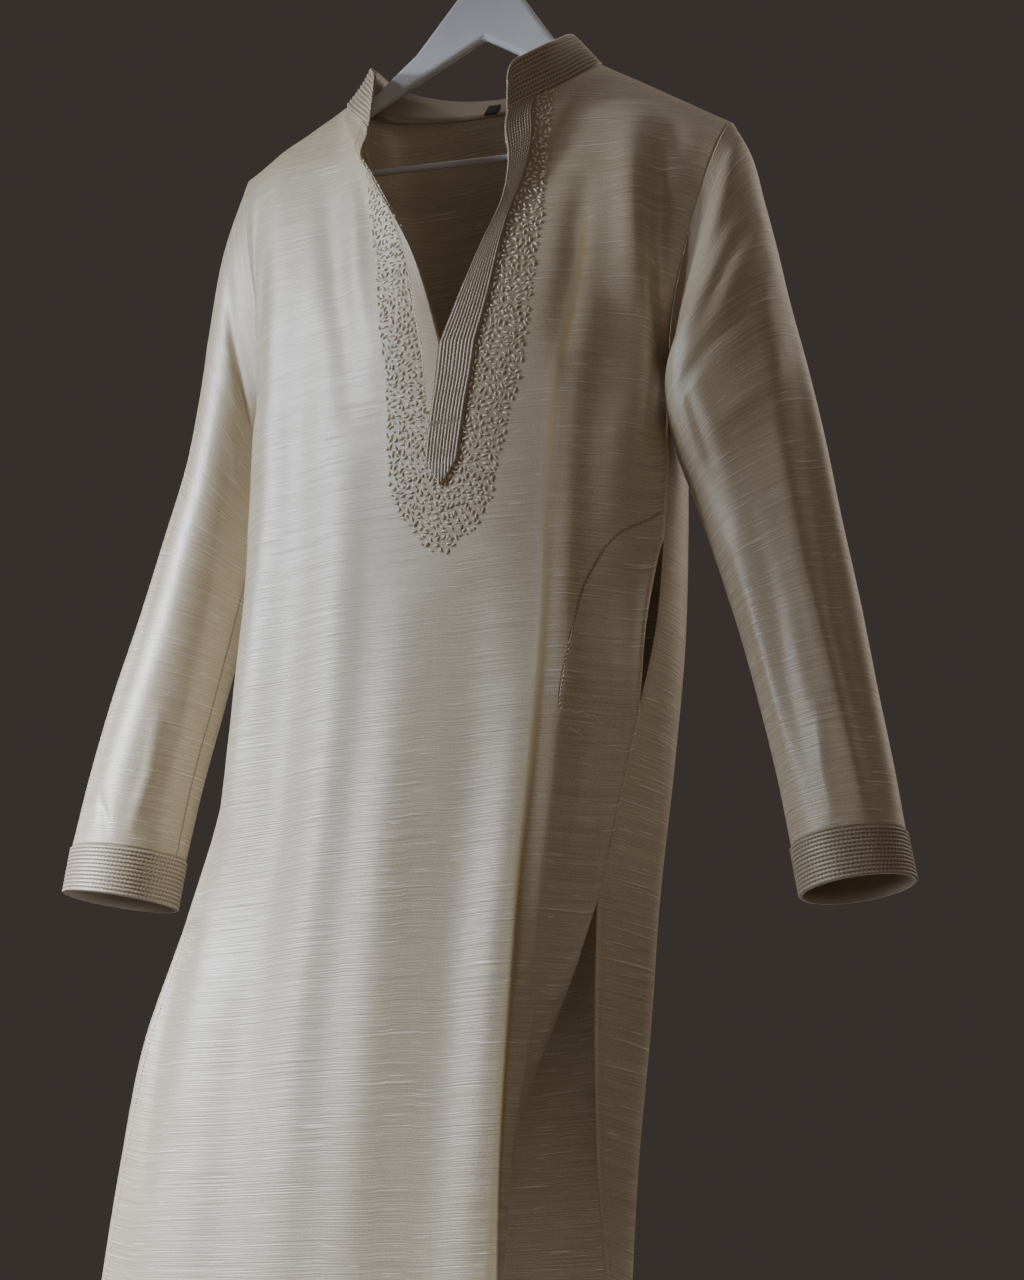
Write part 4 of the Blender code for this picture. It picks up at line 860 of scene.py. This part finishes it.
def sunkShare(ribs, along):  # where painted shade goes: 1 along the stitch rows, less between the puffs, 0 on top of them
    wave, beat = quiltWave(ribs, along, 0.8)
    return np.clip(1.12 - wave * (0.94 + 0.28 * beat), 0, 1)


def ovalRing(row, side, count):
    outer, inner = row[:3], row[3:6]
    half = (outer - inner) / 2
    way = unit(half)
    forward = np.array([0.0, -1.0, 0.0])
    forward = unit(forward - way * forward.dot(way))
    turn = np.arange(count) * 2 * math.pi / count
    sway = -signs[side] * np.sin(turn)
    depth = np.where(sway > 0, row[6], row[7])
    return (outer + inner) / 2 + np.cos(turn)[:, None] * half + (sway * depth)[:, None] * forward


def armholeRing(side, count):
    turn = np.arange(count) * 2 * math.pi / count
    fromTip = np.minimum(turn, 2 * math.pi - turn)
    front, back = (armholePoint(side, face, fromTip) for face in ("front", "back"))
    loop = np.where((-signs[side] * np.sin(turn) > 0)[:, None], front, back)
    return loop + np.array([0.0003 * signs[side], 0.0, -0.0002])


def sleeveGrid(side):
    count = sleeveTable["round"]
    rings = np.stack([armholeRing(side, count)] + [ovalRing(row, side, count) for row in sleeveTable[side]])
    places = np.linspace(0, len(rings) - 1, sleeveTable["rows"])
    return np.stack([throughStations(rings[:, point], places) for point in range(count)], axis=1)


def tubeMap(grid):  # as clothMap, closed round the tube
    closed = np.concatenate([grid, grid[:, :1]], axis=1)
    across = np.linalg.norm(np.diff(closed, axis=1), axis=2).mean(axis=0)
    u = np.concatenate([[0.0], np.cumsum(across)[:-1]])
    down = np.linalg.norm(np.diff(grid, axis=0), axis=2).mean(axis=1)
    v = -np.concatenate([[0.0], np.cumsum(down)])
    return np.stack(np.broadcast_arrays(u[None, :], v[:, None]), axis=2), float(across.sum())


def fannedEnds(parts, out, inside):  # the finely rowed side meets the side with four rows
    steps = (len(out) - 1) // 4
    for column in (0, -1):
        for place in range(4):
            fine = out[place * steps:(place + 1) * steps + 1, column]
            low, high = inside[place, column], inside[place + 1, column]
            fan = [(fine[k], fine[k + 1], low if k < len(fine) // 2 else high) for k in range(steps)]
            fan.append((fine[len(fine) // 2], high, low))
            parts.faces.append(np.array([(*face, face[-1]) for face in fan]))


def quiltedBand(name, line, outward, ribs, clear, look, wrap=False):  # puffed outside, plain inside
    cloth = tubeMap(line)[0] if wrap else clothMap(line)
    lift = clear + quiltLift(ribs, cloth[..., 0], look["rib"])
    few = slice(None, None, (len(line) - 1) // 4)
    inner = (line - outward * (look["thick"] - clear))[few]
    parts = ShellParts()
    out, inside = parts.layers(line + outward * lift[..., None], inner, cloth, cloth[few], wrap, closed=False)
    if not wrap:
        fannedEnds(parts, out, inside)
    piece = parts.build(name, bandSilk)
    # painted shade in the quilting troughs of the outside
    pointValues(piece, "trough", [sunkShare(ribs, cloth[..., 0]), np.zeros(inside.shape)])
    # painted shade over the whole inner side
    pointValues(piece, "shadedInside", [np.zeros(out.shape), np.ones(inside.shape)])
    outwardFaces(piece)
    return piece


sleeves, cuffs, cuffGrids = {}, {}, {}
for side in signs:
    grid = sleeveGrid(side)
    cloth, around = tubeMap(grid)
    normals = gridNormals(grid, wrap=True, passes=4)
    spoke = grid[20] - grid[20].mean(axis=0)
    sign = -1 if (normals[20] * spoke).sum() < 0 else 1
    rows = np.arange(len(grid))[:, None]
    ease = np.clip(rows / 14, 0, 1) * np.clip(rows[::-1] / 6, 0, 1)
    height = foldHeights(cloth, sleeveTable["folds"][side], around) * ease
    grid = grid + normals * sign * height[..., None]
    normals = gridNormals(grid, wrap=True, passes=2) * sign
    sleeves[side] = clothShell("silkSleeve" + side.capitalize(), grid, normals, cloth, sleeveSilk, wrap=True)
    fromSeam = cloth[..., 0] - cloth[:, sleeveTable["seamColumn"], 0][:, None]
    # the sleeve seam line gets painted shade
    seam = np.stack([fromSeam, np.abs(fromSeam) < 0.05, np.zeros(fromSeam.shape)], axis=2)
    pointValues(sleeves[side], "seam", [seam, seam])
    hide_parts("sleeve_" + side)

    ends = sleeveTable[side][-1], sleeveTable["ends"][side]
    start, end = (ovalRing(row, side, cuffLook["round"])[None] for row in ends)
    rows = cuffLook["ribs"] * quilting["steps"] + 1
    steps = np.linspace(0, 1, rows)[:, None, None]
    line = start * (1 - steps) + end * steps
    outward = gridNormals(line, wrap=True) * sign
    cuffGrids[side] = line, outward
    ribs = np.linspace(0, cuffLook["ribs"], rows)[:, None]
    name = "quiltedCuff" + side.capitalize()
    cuffs[side] = quiltedBand(name, line, outward, ribs, cuffLook["clear"], cuffLook, wrap=True)
    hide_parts("cuff_" + side)
print("kurta: sleeves and cuffs set")

# placket: quilted band on the wearer's left, plain strip on the right
plackets = {
    "lay": 0.0005,
    "ribs": 10,
    "rib": 0.0012,
    "thick": 0.0018,
    # level, then the inner and the outer edge's distance from the opening
    "edges": (
        (-0.460, 0.000, 0.031),
        (-0.490, -0.003, 0.027),
        (-0.515, -0.007, 0.0225),
        (-0.545, -0.0105, 0.0185),
        (-0.562, -0.0115, 0.0165),
    ),
    "tip": (-0.583, 0.003),
    "tipHalfWidth": 0.0006,
    "gap": 0.0002,
    "barLevel": -0.531,
    "barWidth": 0.0016,
    "eyelets": ((-0.086, -0.257), (-0.043, -0.385), (-0.019, -0.457)),
    "start": 0.03,
    "stripWidth": 0.018,
    "stripEnd": -0.520,
    "stripEndWidth": 0.012,
    "stripColumns": 13,
    "stripLift": 0.0003,
    "bandFlat": (0.031, 0.36),
    "bandArea": 0.0098,
    "stripFlat": (0.018, 0.30),
    "stripArea": 0.0033,
}


def panelWalk(row, distances):  # points and normals on the front at distances from the opening's edge
    found = []
    for whole in (math.floor(row), math.ceil(row)):
        lines = (np.hstack([half["grid"][whole], half["normals"][whole]]) for half in halves.values())
        left, right = (readAlong(line, np.abs(distances)) for line in lines)
        found.append(np.where((distances >= 0)[:, None], left, right))
    share = row - math.floor(row)
    return found[0] * (1 - share) + found[1] * share


def bandEdges(z):
    last, (tipLevel, tipPlace) = plackets["edges"][-1][0], plackets["tip"]
    inner, outer = atLevel(plackets["edges"], z)
    close = np.clip((last - z) / (last - tipLevel), 0, 1)
    half = plackets["tipHalfWidth"]
    return inner + (tipPlace - half - inner) * close, outer + (tipPlace + half - outer) * close, inner, outer


def laidBand(levels, each, spread):  # places and normals on the front, row by row from the neck down
    centre = leftHalf["grid"][:, 0, 2]
    below = [float(np.interp(-z, -centre, np.arange(len(centre)))) for z in levels]
    rows = list(np.linspace(splitRow * plackets["start"], splitRow, each)) + below
    levels = np.interp(rows, np.arange(len(centre)), centre)
    found = np.stack([panelWalk(row, spread(z)) for row, z in zip(rows, levels)])
    return {"places": found[..., :3], "outward": found[..., 3:], "levels": levels}


def acrossBand(z):
    inner, outer, _, _ = bandEdges(z)
    steps = plackets["ribs"] * quilting["steps"]
    return inner + plackets["gap"] + (outer - inner - plackets["gap"]) * np.arange(steps + 1) / steps


def acrossStrip(z):
    closing = np.clip((garment["underarm"] - z) / (garment["underarm"] - plackets["stripEnd"]), 0, 1)
    width = plackets["stripWidth"] + (plackets["stripEndWidth"] - plackets["stripWidth"]) * closing
    return np.linspace(-width, bandEdges(z)[0] - 0.0003, plackets["stripColumns"])


def ribsAcross(z):
    _, _, inner, outer = bandEdges(z)
    shares = (acrossBand(z) - inner - plackets["gap"]) / (outer - inner - plackets["gap"])
    return np.clip(shares * plackets["ribs"], 0.001, plackets["ribs"] - 0.001)


lastEdge = plackets["edges"][-1][0]
tipLevels = np.append(np.linspace(garment["underarm"], lastEdge, 118)[1:], np.linspace(lastEdge, plackets["tip"][0], 26)[1:])
bandLine = laidBand(tipLevels, 280, acrossBand)
places, outward = bandLine["places"], bandLine["outward"]
bandCloth = clothMap(places)
ribs = np.stack([ribsAcross(z) for z in bandLine["levels"]])
barShare = np.exp(-((bandLine["levels"] - plackets["barLevel"]) / plackets["barWidth"]) ** 2)[:, None]
puffs = quiltLift(ribs, bandCloth[..., 1], plackets["rib"]) * (1 - 0.9 * barShare)
parts = ShellParts()
under = places + outward * plackets["lay"]
parts.layers(places + outward * (plackets["lay"] + plackets["thick"] + puffs)[..., None], under, bandCloth)
quiltedPlacket = parts.build("quiltedPlacket", bandSilk)
# painted shade in the quilting troughs and along the bar
sunk = np.maximum(sunkShare(ribs, bandCloth[..., 1]), barShare)
pointValues(quiltedPlacket, "trough", [sunk, np.zeros(sunk.shape)])
outwardFaces(quiltedPlacket)
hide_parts("placket_band")

stripLine = laidBand(np.linspace(garment["underarm"], plackets["stripEnd"], 30)[1:], 150, acrossStrip)
edge = np.minimum(np.arange(plackets["stripColumns"]), 1.0)[None, :, None] * plackets["stripLift"]
strip = stripLine["places"] + stripLine["outward"] * (plackets["lay"] + garment["cloth"] + edge)
underStrip = clothShell("underStrip", strip, stripLine["outward"], clothMap(strip), stripSilk)
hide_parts("under_placket")
print("kurta: placket laid on")

# collar
collarLook = {
    "ribs": 10,
    "rib": 0.0010,
    "thick": 0.0018,
    "rounding": 0.012,
    "columns": 580,
    "flat": (0.50, 0.041),
}


def collarFrame():  # the foot's places, the way up from them, and the outward normals
    stations = neckTable["stations"]
    last = len(stations) - 1
    even = np.linspace(0, 1, collarLook["columns"])
    columns = even * last * 0.55 + (1 - np.cos(even * math.pi)) / 2 * last * 0.45
    base = throughStations(stations[:, :3], columns)
    keys = arcKeys(stations[:, :3])
    rise = smoothTable(keys, stations[:, 3:], np.interp(columns, np.arange(last + 1), keys)) - base
    normals = unit(np.cross(rise, np.gradient(base, axis=0)))
    along = arcKeys(base)
    inside = np.clip(1 - np.minimum(along, along[-1] - along) / collarLook["rounding"], 0, 1)
    lengths = np.linalg.norm(rise, axis=1)
    factor = 1 - collarLook["rounding"] * (1 - np.sqrt(1 - inside ** 2)) / lengths
    lift = rise / lengths[:, None] * 0.0002
    return base + lift, rise * factor[:, None] - lift, normals


collarBase, collarRise, collarOut = collarFrame()
shares = np.linspace(0, 1, collarLook["ribs"] * quilting["steps"] + 1)[:, None]
line = collarBase[None] + shares[..., None] * collarRise[None]
quiltedCollar = quiltedBand("quiltedCollar", line, collarOut[None], shares * collarLook["ribs"], 0.0, collarLook)
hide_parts("collar_band")
print("kurta: collar set")

# pocket bag
pocketLook = {
    # level and reach in from the front's edge
    "outline": metres((
        (-605, 12), (-612, 21), (-624, 33), (-642, 49), (-665, 64), (-695, 67), (-730, 66), (-760, 63), (-785, 60))),
    "steps": 24,
    "rows": 60,
    "edge": 0.0012,
    "gap": 0.0008,
    "hollow": 0.0020,
    "flat": (0.068, 0.18),
    "area": 0.0100,
}
found = []
for z in np.linspace(*pocketLook["outline"][[0, -1], 0], pocketLook["rows"]):
    reach = atLevel(pocketLook["outline"], z)[0]
    row = round(float(np.interp(-z, -leftHalf["grid"][:, -1, 2], np.arange(len(leftHalf["grid"])))))
    line = np.hstack([leftHalf["grid"][row], leftHalf["normals"][row]])[::-1]
    shares = np.linspace(0, 1, pocketLook["steps"] + 1)
    found.append(readAlong(line, pocketLook["edge"] + (reach - pocketLook["edge"]) * shares))
places, inward = np.split(np.stack(found), 2, axis=2)
down, across = (np.sin(np.linspace(0, math.pi, count)) for count in places.shape[:2])
hollow = pocketLook["hollow"] * down[:, None] * across
bag = places - inward * (garment["cloth"] + pocketLook["gap"] + hollow)[..., None]
pocketBag = clothShell("pocketBag", bag, inward, clothMap(bag), ivorySilk)
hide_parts("pocket_bag")
print("kurta: pocket set in")

# vermicelli embroidery round the opening
vermicelli = {
    # the field's outline on the front: x and z
    "field": (
        (-0.084, -0.25), (-0.081, -0.284), (-0.077, -0.319), (-0.07, -0.355), (-0.061, -0.414), (-0.059, -0.44),
        (-0.052, -0.484), (-0.051, -0.523), (-0.05, -0.552), (-0.047, -0.581), (-0.039, -0.605), (-0.028, -0.62),
        (-0.012, -0.636), (0.004, -0.642), (0.016, -0.631), (0.028, -0.625), (0.035, -0.615), (0.044, -0.596),
        (0.047, -0.572), (0.057, -0.533), (0.066, -0.499), (0.072, -0.46), (0.076, -0.411), (0.08, -0.353),
        (0.082, -0.294), (0.084, -0.215)),
    # each pass: tries, shortest and longest stitch, clear distance between stitches
    "passes": ((90000, 0.0046, 0.0064, 0.00212), (70000, 0.0032, 0.0044, 0.00206), (50000, 0.0020, 0.0030, 0.00200)),
    "bend": 1.1,
    "cell": 0.0022,
    "fade": 0.004,  # width of the field's soft edge
    "width": 0.00086,
    "height": 0.00118,
    "seed": 7,
    "thread": (0.94, 0.86, 0.71),
}


def insideOutline(x, z, outline):
    inside = False
    for (ax, az), (bx, bz) in zip(outline, outline[1:] + outline[:1]):
        if (az > z) != (bz > z) and x < (bx - ax) * (z - az) / (bz - az) + ax:
            inside = not inside
    return inside


def cellOf(x, z):
    return int(x // vermicelli["cell"]), int(z // vermicelli["cell"])


def clearOf(spots, taken, apart):
    for px, pz in spots:
        column, row = cellOf(px, pz)
        for near in ((column + dx, row + dz) for dx in (-1, 0, 1) for dz in (-1, 0, 1)):
            for qx, qz in taken.get(near, ()):
                if (px - qx) ** 2 + (pz - qz) ** 2 < apart ** 2:
                    return False
    return True


def treeOf(pieces):  # the outer surface that stitches are laid on
    points, faces, owners = [], [], []
    for number, piece in enumerate(pieces):
        first = len(points)
        points += [piece.matrix_world @ corner.co for corner in piece.data.vertices]
        faces += [tuple(first + index for index in face.vertices) for face in piece.data.polygons]
        owners += [number] * len(piece.data.polygons)
    return BVHTree.FromPolygons(points, faces), owners


bpy.context.view_layer.update()
surface, surfaceOwners = treeOf([silkFront, quiltedPlacket, underStrip])


def castOn(x, z):  # what lies at x and z, seen from the front: its place, normal and piece
    place, normal, face, _ = surface.ray_cast(Vector((x - garment["hookOffset"], -0.3, z)), Vector((0, 1, 0)), 0.4)
    return None if place is None else (np.array(place) + toHook, np.array(normal), surfaceOwners[face])


def nearestOn(places, lift=0.0001):  # places brought onto the surface, with its normals
    found = [surface.find_nearest(Vector(place) - Vector(toHook)) for place in places]
    normals = np.array([item[1] for item in found])
    return np.array([item[0] for item in found]) + toHook + normals * lift, normals


def tubeRuns(runs, width, height, sides):  # rounded strokes lying on the cloth
    points, faces = [], []
    turns = [2 * math.pi * side / sides for side in range(sides)]
    for line, normals in runs:
        beside = unit(np.cross(unit(np.gradient(line, axis=0)), normals))
        first, count = len(points), len(line)
        swell = np.sqrt(np.clip(1 - np.linspace(-1, 1, count) ** 4, 0.10, 1))
        for k in range(count):
            for turn in turns:
                offset = beside[k] * math.cos(turn) * width + normals[k] * (math.sin(turn) * height + height * 0.35)
                points.append(line[k] + offset * swell[k])
        rings = [range(first + k * sides, first + (k + 1) * sides) for k in range(count)]
        for ring, after in zip(rings, rings[1:]):
            faces += [(ring[k - sides], ring[k + 1 - sides], after[k + 1 - sides], after[k - sides]) for k in range(sides)]
        faces += [tuple(rings[0]), tuple(reversed(rings[-1]))]
    return points, faces


def laidVermicelli():
    draw = random.Random(vermicelli["seed"])
    field = vermicelli["field"]
    (lowX, highX), (lowZ, highZ) = ((min(part), max(part)) for part in zip(*field))
    taken = {}
    runs = []
    for tries, shortest, longest, apart in vermicelli["passes"]:
        for _ in range(tries):
            x, z = draw.uniform(lowX, highX), draw.uniform(lowZ, highZ)
            turn = draw.uniform(0, 2 * math.pi)
            bend = draw.uniform(-vermicelli["bend"], vermicelli["bend"])
            length = draw.uniform(shortest, longest)
            spots = []
            for step in range(4):
                here = turn + bend * (step - 1) * 0.8
                spots.append((x, z))
                x, z = x + math.cos(here) * length / 3, z + math.sin(here) * length / 3
            if not (insideOutline(*spots[1], field) and clearOf(spots, taken, apart)):
                continue
            if not (insideOutline(*spots[0], field) and insideOutline(*spots[3], field)):
                continue
            laid = [castOn(*spot) for spot in spots]
            if any(item is None or item[2] != 0 or item[0][1] > -0.02 for item in laid):
                continue
            for spot in spots:
                taken.setdefault(cellOf(*spot), []).append(spot)
            runs.append((np.array([item[0] for item in laid]), np.array([item[1] for item in laid])))
    return runs


wormRuns = laidVermicelli()
points, faces = tubeRuns(wormRuns, vermicelli["width"], vermicelli["height"], 5)
wormThread = plainThread("vermicelliThread", vermicelli["thread"], 0.32)
vermicelliStitches = newMesh("vermicelliStitches", points, faces, wormThread)
outwardFaces(vermicelliStitches)


def insideField(places):  # how far points lie inside the embroidered field, 0 to 1 over its soft edge
    outline = np.asarray(vermicelli["field"], float)
    crossed = np.zeros(len(places), bool)
    away = np.full(len(places), 1e9)
    for a, b in zip(outline, np.roll(outline, -1, axis=0)):
        rises = (a[1] > places[:, 1]) != (b[1] > places[:, 1])
        crossed ^= rises & (places[:, 0] < (b[0] - a[0]) * (places[:, 1] - a[1]) / (b[1] - a[1] + 1e-12) + a[0])
        way = b - a
        share = np.clip(((places - a) @ way) / (way @ way), 0, 1)
        away = np.minimum(away, np.linalg.norm(places - a - share[:, None] * way, axis=1))
    return np.where(crossed, np.clip(away / vermicelli["fade"], 0, 1), 0.0)


corners = np.array([corner.co for corner in silkFront.data.vertices])
# painted shade on the front's cloth inside the embroidered field
pointValues(silkFront, "stitchGroundShade", [(insideField(corners[:, [0, 2]]) * (corners[:, 1] < -0.02))[:, None]])
print("kurta: vermicelli,", len(wormRuns), "stitches,", len(faces), "faces")

# rows of machine stitches
stitchLook = {"length": 0.0024, "gap": 0.0012, "width": 0.00038, "height": 0.00030}
edgeLook = {"pitch": 0.0021, "width": 0.00046, "height": 0.00034}


def stitchRow(line, normals):  # each stitch as a short stroke along a line on the cloth
    both = np.hstack([line, normals])
    length, gap = stitchLook["length"], stitchLook["gap"]
    runs = []
    start = gap
    while start + length < arcKeys(line)[-1]:
        found = readAlong(both, np.linspace(start, start + length, 3))
        runs.append((found[:, :3], found[:, 3:]))
        start += length + gap
    return runs


def laidRow(strip, at, lift):  # stitches along one row or column of a laid band
    return stitchRow(strip["places"][at] + strip["outward"][at] * lift, strip["outward"][at])


def hemRows(edges):
    runs = []
    for kind, grid, normals in edges:
        points, up = stripInwards(grid, normals, [hemLook[kind] - hemLook["inset"]])
        runs += stitchRow(points[:, 0] + up[:, 0] * hemLook["clear"], up[:, 0])
    return runs


def oversewn(line, normals, inwards):  # slanted stitches over an edge
    parts = np.hstack([line, normals, unit(np.gradient(line, axis=0)), unit(inwards)])
    pitch = edgeLook["pitch"]
    runs = []
    for at in np.arange(pitch, arcKeys(line)[-1] - pitch, pitch):
        spot, up, way, inside = readAlong(parts, [at]).reshape(4, 3)
        behind, before = spot - inside * 0.0004 - up * 0.0008, spot - inside * 0.0003 + up * 0.0004
        over = spot + inside * 0.0016 + way * 0.0009 + up * 0.0006
        runs.append((np.array([behind, before, over]), np.array([up - inside, up - inside * 0.5, up])))
    return runs


def stitchMesh(name, runs, thread, look=stitchLook):
    points, faces = tubeRuns(runs, look["width"], look["height"], 4)
    piece = newMesh(name, points, faces, thread)
    outwardFaces(piece)
    return piece


def stitchedRibs(look):  # the row of each line of stitches, the outer two moved in from the edge
    last = look["ribs"] * quilting["steps"]
    return [min(max(place, 1), last - 1) for place in range(0, last + 1, quilting["steps"])]


bandLift = plackets["lay"] + plackets["thick"]
runs = []
for column in stitchedRibs(plackets):
    runs += laidRow(bandLine, np.s_[:-26, column], bandLift + 0.0001)
barRow = int(np.argmin(np.abs(bandLine["levels"] - plackets["barLevel"])))
runs += laidRow(bandLine, barRow, bandLift + 0.0002)
placketStitches = stitchMesh("placketStitches", runs, tanThread)

runs = []
for column, beside, share in ((0, 1, 1.0), (-1, -2, 0.6)):  # the band's edges are oversewn
    edgeLine, up = bandLine["places"][:, column], bandLine["outward"][:, column]
    lift = plackets["lay"] + plackets["thick"] * share
    runs += oversewn(edgeLine + up * lift, up, bandLine["places"][:, beside] - edgeLine)
runs += oversewn(collarBase + collarRise, collarOut, -collarRise)
for column, beside in ((0, 3), (-1, -4)):
    endLine = collarBase[column] + np.linspace(0.03, 0.97, 40)[:, None] * collarRise[column]
    inwards = np.tile(collarBase[beside] - collarBase[column], (40, 1))
    runs += oversewn(endLine, np.tile(collarOut[column], (40, 1)), inwards)
edgeStitches = stitchMesh("edgeStitches", runs, ivoryThread, edgeLook)

runs = []
for column in (1, -2):
    runs += laidRow(stripLine, np.s_[:, column], plackets["lay"] + garment["cloth"] + 0.0004)
stripStitches = stitchMesh("stripStitches", runs, tanThread)
runs = []
for x, z in plackets["eyelets"]:
    middle, up, _ = castOn(x, z)
    beside = unit(np.cross(up, [0, 0, 1.0]))
    above = np.cross(beside, up)
    for turn in np.arange(7) * 2 * math.pi / 7:
        way = beside * math.cos(turn) + above * math.sin(turn)
        runs.append((np.array([middle + way * 0.0003, middle + way * 0.0011]), np.array([up, up])))
eyelets = stitchMesh("studEyelets", runs, darkThread)


def laidLine(knots, spacing=0.0022):  # a line of points brought onto the front
    keys = arcKeys(knots)
    return nearestOn(smoothTable(keys, knots, np.linspace(0, keys[-1], max(int(keys[-1] / spacing), 4))))


def clothLine(line, spacing=0.002):  # a line in cloth coordinates brought onto the left front
    cloth, grid = (leftHalf[part][splitRow - 10:] for part in ("cloth", "grid"))
    keys = arcKeys(line)
    places = []
    for spot in smoothTable(keys, line, np.arange(0, keys[-1], spacing)):
        row, column = np.unravel_index(np.argmin(np.linalg.norm(cloth - spot, axis=2)), cloth.shape[:2])
        around = slice(max(row - 1, 0), row + 2), slice(max(column - 1, 0), column + 2)
        weight = 1 / (np.linalg.norm(cloth[around] - spot, axis=2) ** 2 + 1e-8)
        places.append((grid[around] * (weight / weight.sum())[..., None]).sum(axis=(0, 1)))
    return nearestOn(places)


runs = []
for line in pocketSeams.values():
    runs += stitchRow(*clothLine(metres(line)))
pocketStitches = stitchMesh("pocketStitches", runs, ivoryThread, dict(stitchLook, height=0.00042))
runs = []
tipLevel, tipPlace = plackets["tip"]
for sign, edge in zip((-1, 1), plackets["edges"][-1][1:]):
    for gap in (0.0016, 0.0032):
        ends = (edge + sign * gap, -0.09, lastEdge), (tipPlace, -0.09, tipLevel - gap * 1.2)
        runs += stitchRow(*laidLine(np.array(ends)))
frontStitches = stitchMesh("frontStitches", runs + hemRows(frontEdges), tanThread)
backStitches = stitchMesh("backStitches", hemRows(backEdges), tanThread)

runs = []
for place in range(collarLook["ribs"] + 1):
    share = min(max(place / collarLook["ribs"], 0.012), 0.988)
    runs += stitchRow((collarBase + share * collarRise + collarOut * 0.0001)[3:-3], collarOut[3:-3])
collarStitches = stitchMesh("collarStitches", runs, tanThread)

for side, (line, outward) in cuffGrids.items():
    runs = []
    for row in stitchedRibs(cuffLook):
        ring, up = (np.vstack([part[row], part[row][:1]]) for part in (line, outward))
        runs += stitchRow(ring + up * 0.0005, up)
    stitchMesh("cuffStitches" + side.capitalize(), runs, tanThread)
print("kurta: machine stitches done")

# hanger and label
hangerLook = {
    "white": (0.84, 0.87, 0.93),
    "wire": ((0.62, 0.62, 0.64), (0.74, 0.74, 0.75)),
    "label": (0.012, 0.012, 0.013),
    "bar": 0.0030,
    "barSides": 20,
    "barRows": 24,
}
worn = tuple(part * 0.93 for part in hangerLook["white"])
whiteLacquer = grainy("whiteLacquer", hangerLook["white"], worn, (18.0,) * 3, 3.0, (0.35, 0.7), (0.3, 0.7, 0.28, 0.37),
                      (0.08, 0.0003), ((420.0,) * 3, 2.0))
hookWire = grainy("hookWire", *hangerLook["wire"], (60.0, 900.0, 60.0), 3.0, (0.0, 1.0), (0.2, 0.8, 0.16, 0.30),
                  Metallic=1.0)
pale = tuple(part * 2.2 for part in hangerLook["label"])
blankRibbon = grainy("blankRibbon", hangerLook["label"], pale, (1600.0, 1600.0, 2600.0), 1.0, (0.35, 0.65), 0.7,
                     (0.5, 0.0002))
dressed = {"hanger_body": whiteLacquer, "hanger_bar": whiteLacquer, "hanger_hook": hookWire, "neck_label": blankRibbon}
for node, material in dressed.items():
    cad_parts[node].data.materials.clear()
    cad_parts[node].data.materials.append(material)


def roundBar(node, radius):  # a thicker bar from end to end of the solid one
    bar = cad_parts[node]
    places = np.array([bar.matrix_world @ corner.co for corner in bar.data.vertices]) + toHook
    across = places[:, 0]
    ends = [places[np.abs(across - end) < 0.003].mean(axis=0) for end in (across.min(), across.max())]
    sides, rows = hangerLook["barSides"], hangerLook["barRows"]
    turns = np.linspace(0, 2 * math.pi, sides, endpoint=False)
    ring = np.column_stack([turns * 0, np.cos(turns), np.sin(turns)]) * radius
    parts = ShellParts()
    points = np.linspace(*ends, rows + 1)[:, None] + ring[None]
    numbers = parts.grid(points, points[..., :2])
    parts.sheet(numbers, wrap=True)
    faces = np.vstack(parts.faces).tolist() + [numbers[0].tolist(), numbers[-1].tolist()]
    return newMesh("hangerBar", points.reshape(-1, 3), faces, whiteLacquer)


hangerBar = roundBar("hanger_bar", hangerLook["bar"])
outwardFaces(hangerBar)
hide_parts("hanger_bar")
print("kurta: hanger dressed")

# room: pale floor, soft lights
studio = {
    "floorLevel": -1.62,
    "floorSize": 8.0,
    "floorColour": (0.62, 0.60, 0.58, 1.0),
    "floorRoughness": 0.85,
    "air": (0.046, 0.037, 0.034, 1.0),
    # each light: place, aim, size, spread in degrees, power, colour
    "lights": {
        "key": ((-1.52, -1.04, -0.10), (-0.67, 0.0, -0.98), (0.6, 1.3), 48, 12.4, (0.82, 0.89, 1.0)),
        "graze": ((-1.50, -0.85, -0.20), (0.08, -0.06, -0.26), (0.16, 0.3), 20, 0.30, (0.82, 0.89, 1.0)),
        "fill": ((1.8, -2.7, -0.35), (0.0, 0.0, -0.8), (2.6, 1.3), 120, 3.3, (1.0, 0.84, 0.66)),
        "back": ((1.7, 2.7, 1.1), (0.0, 0.0, -0.7), (2.4, 2.4), 130, 12.0, (1.0, 0.90, 0.78)),
        "top": ((0.0, 0.6, 2.4), (0.0, 0.1, -1.6), (3.4, 3.4), 180, 12.0, (1.0, 0.93, 0.86)),
    },
}

floorMesh = bpy.data.meshes.new("paleFloor")
reach = studio["floorSize"] / 2
floorMesh.from_pydata([(-reach, -reach, 0), (reach, -reach, 0), (reach, reach, 0), (-reach, reach, 0)], [], [(0, 1, 2, 3)])
paleFloor = placed("paleFloor", floorMesh)
paleFloor.location.z = studio["floorLevel"]
plaster = Paint("palePlaster")
floorMesh.materials.append(plaster.finish(studio["floorColour"][:3], studio["floorRoughness"]))

for name, (place, aim, size, spread, power, colour) in studio["lights"].items():
    data = bpy.data.lights.new(name + "Light", "AREA")
    data.shape = "RECTANGLE"
    data.size, data.size_y = size
    data.energy = power
    data.color = colour
    data.spread = math.radians(spread)
    light = placed(name + "Light", data)
    light.location = place
    light.rotation_euler = (Vector(aim) - Vector(place)).to_track_quat("-Z", "Y").to_euler()

world = bpy.data.worlds.new("softRoom")
world.use_nodes = True
background = world.node_tree.nodes["Background"]
background.inputs["Color"].default_value = studio["air"]
background.inputs["Strength"].default_value = 1.0
bpy.context.scene.world = world
print("kurta: room lit")
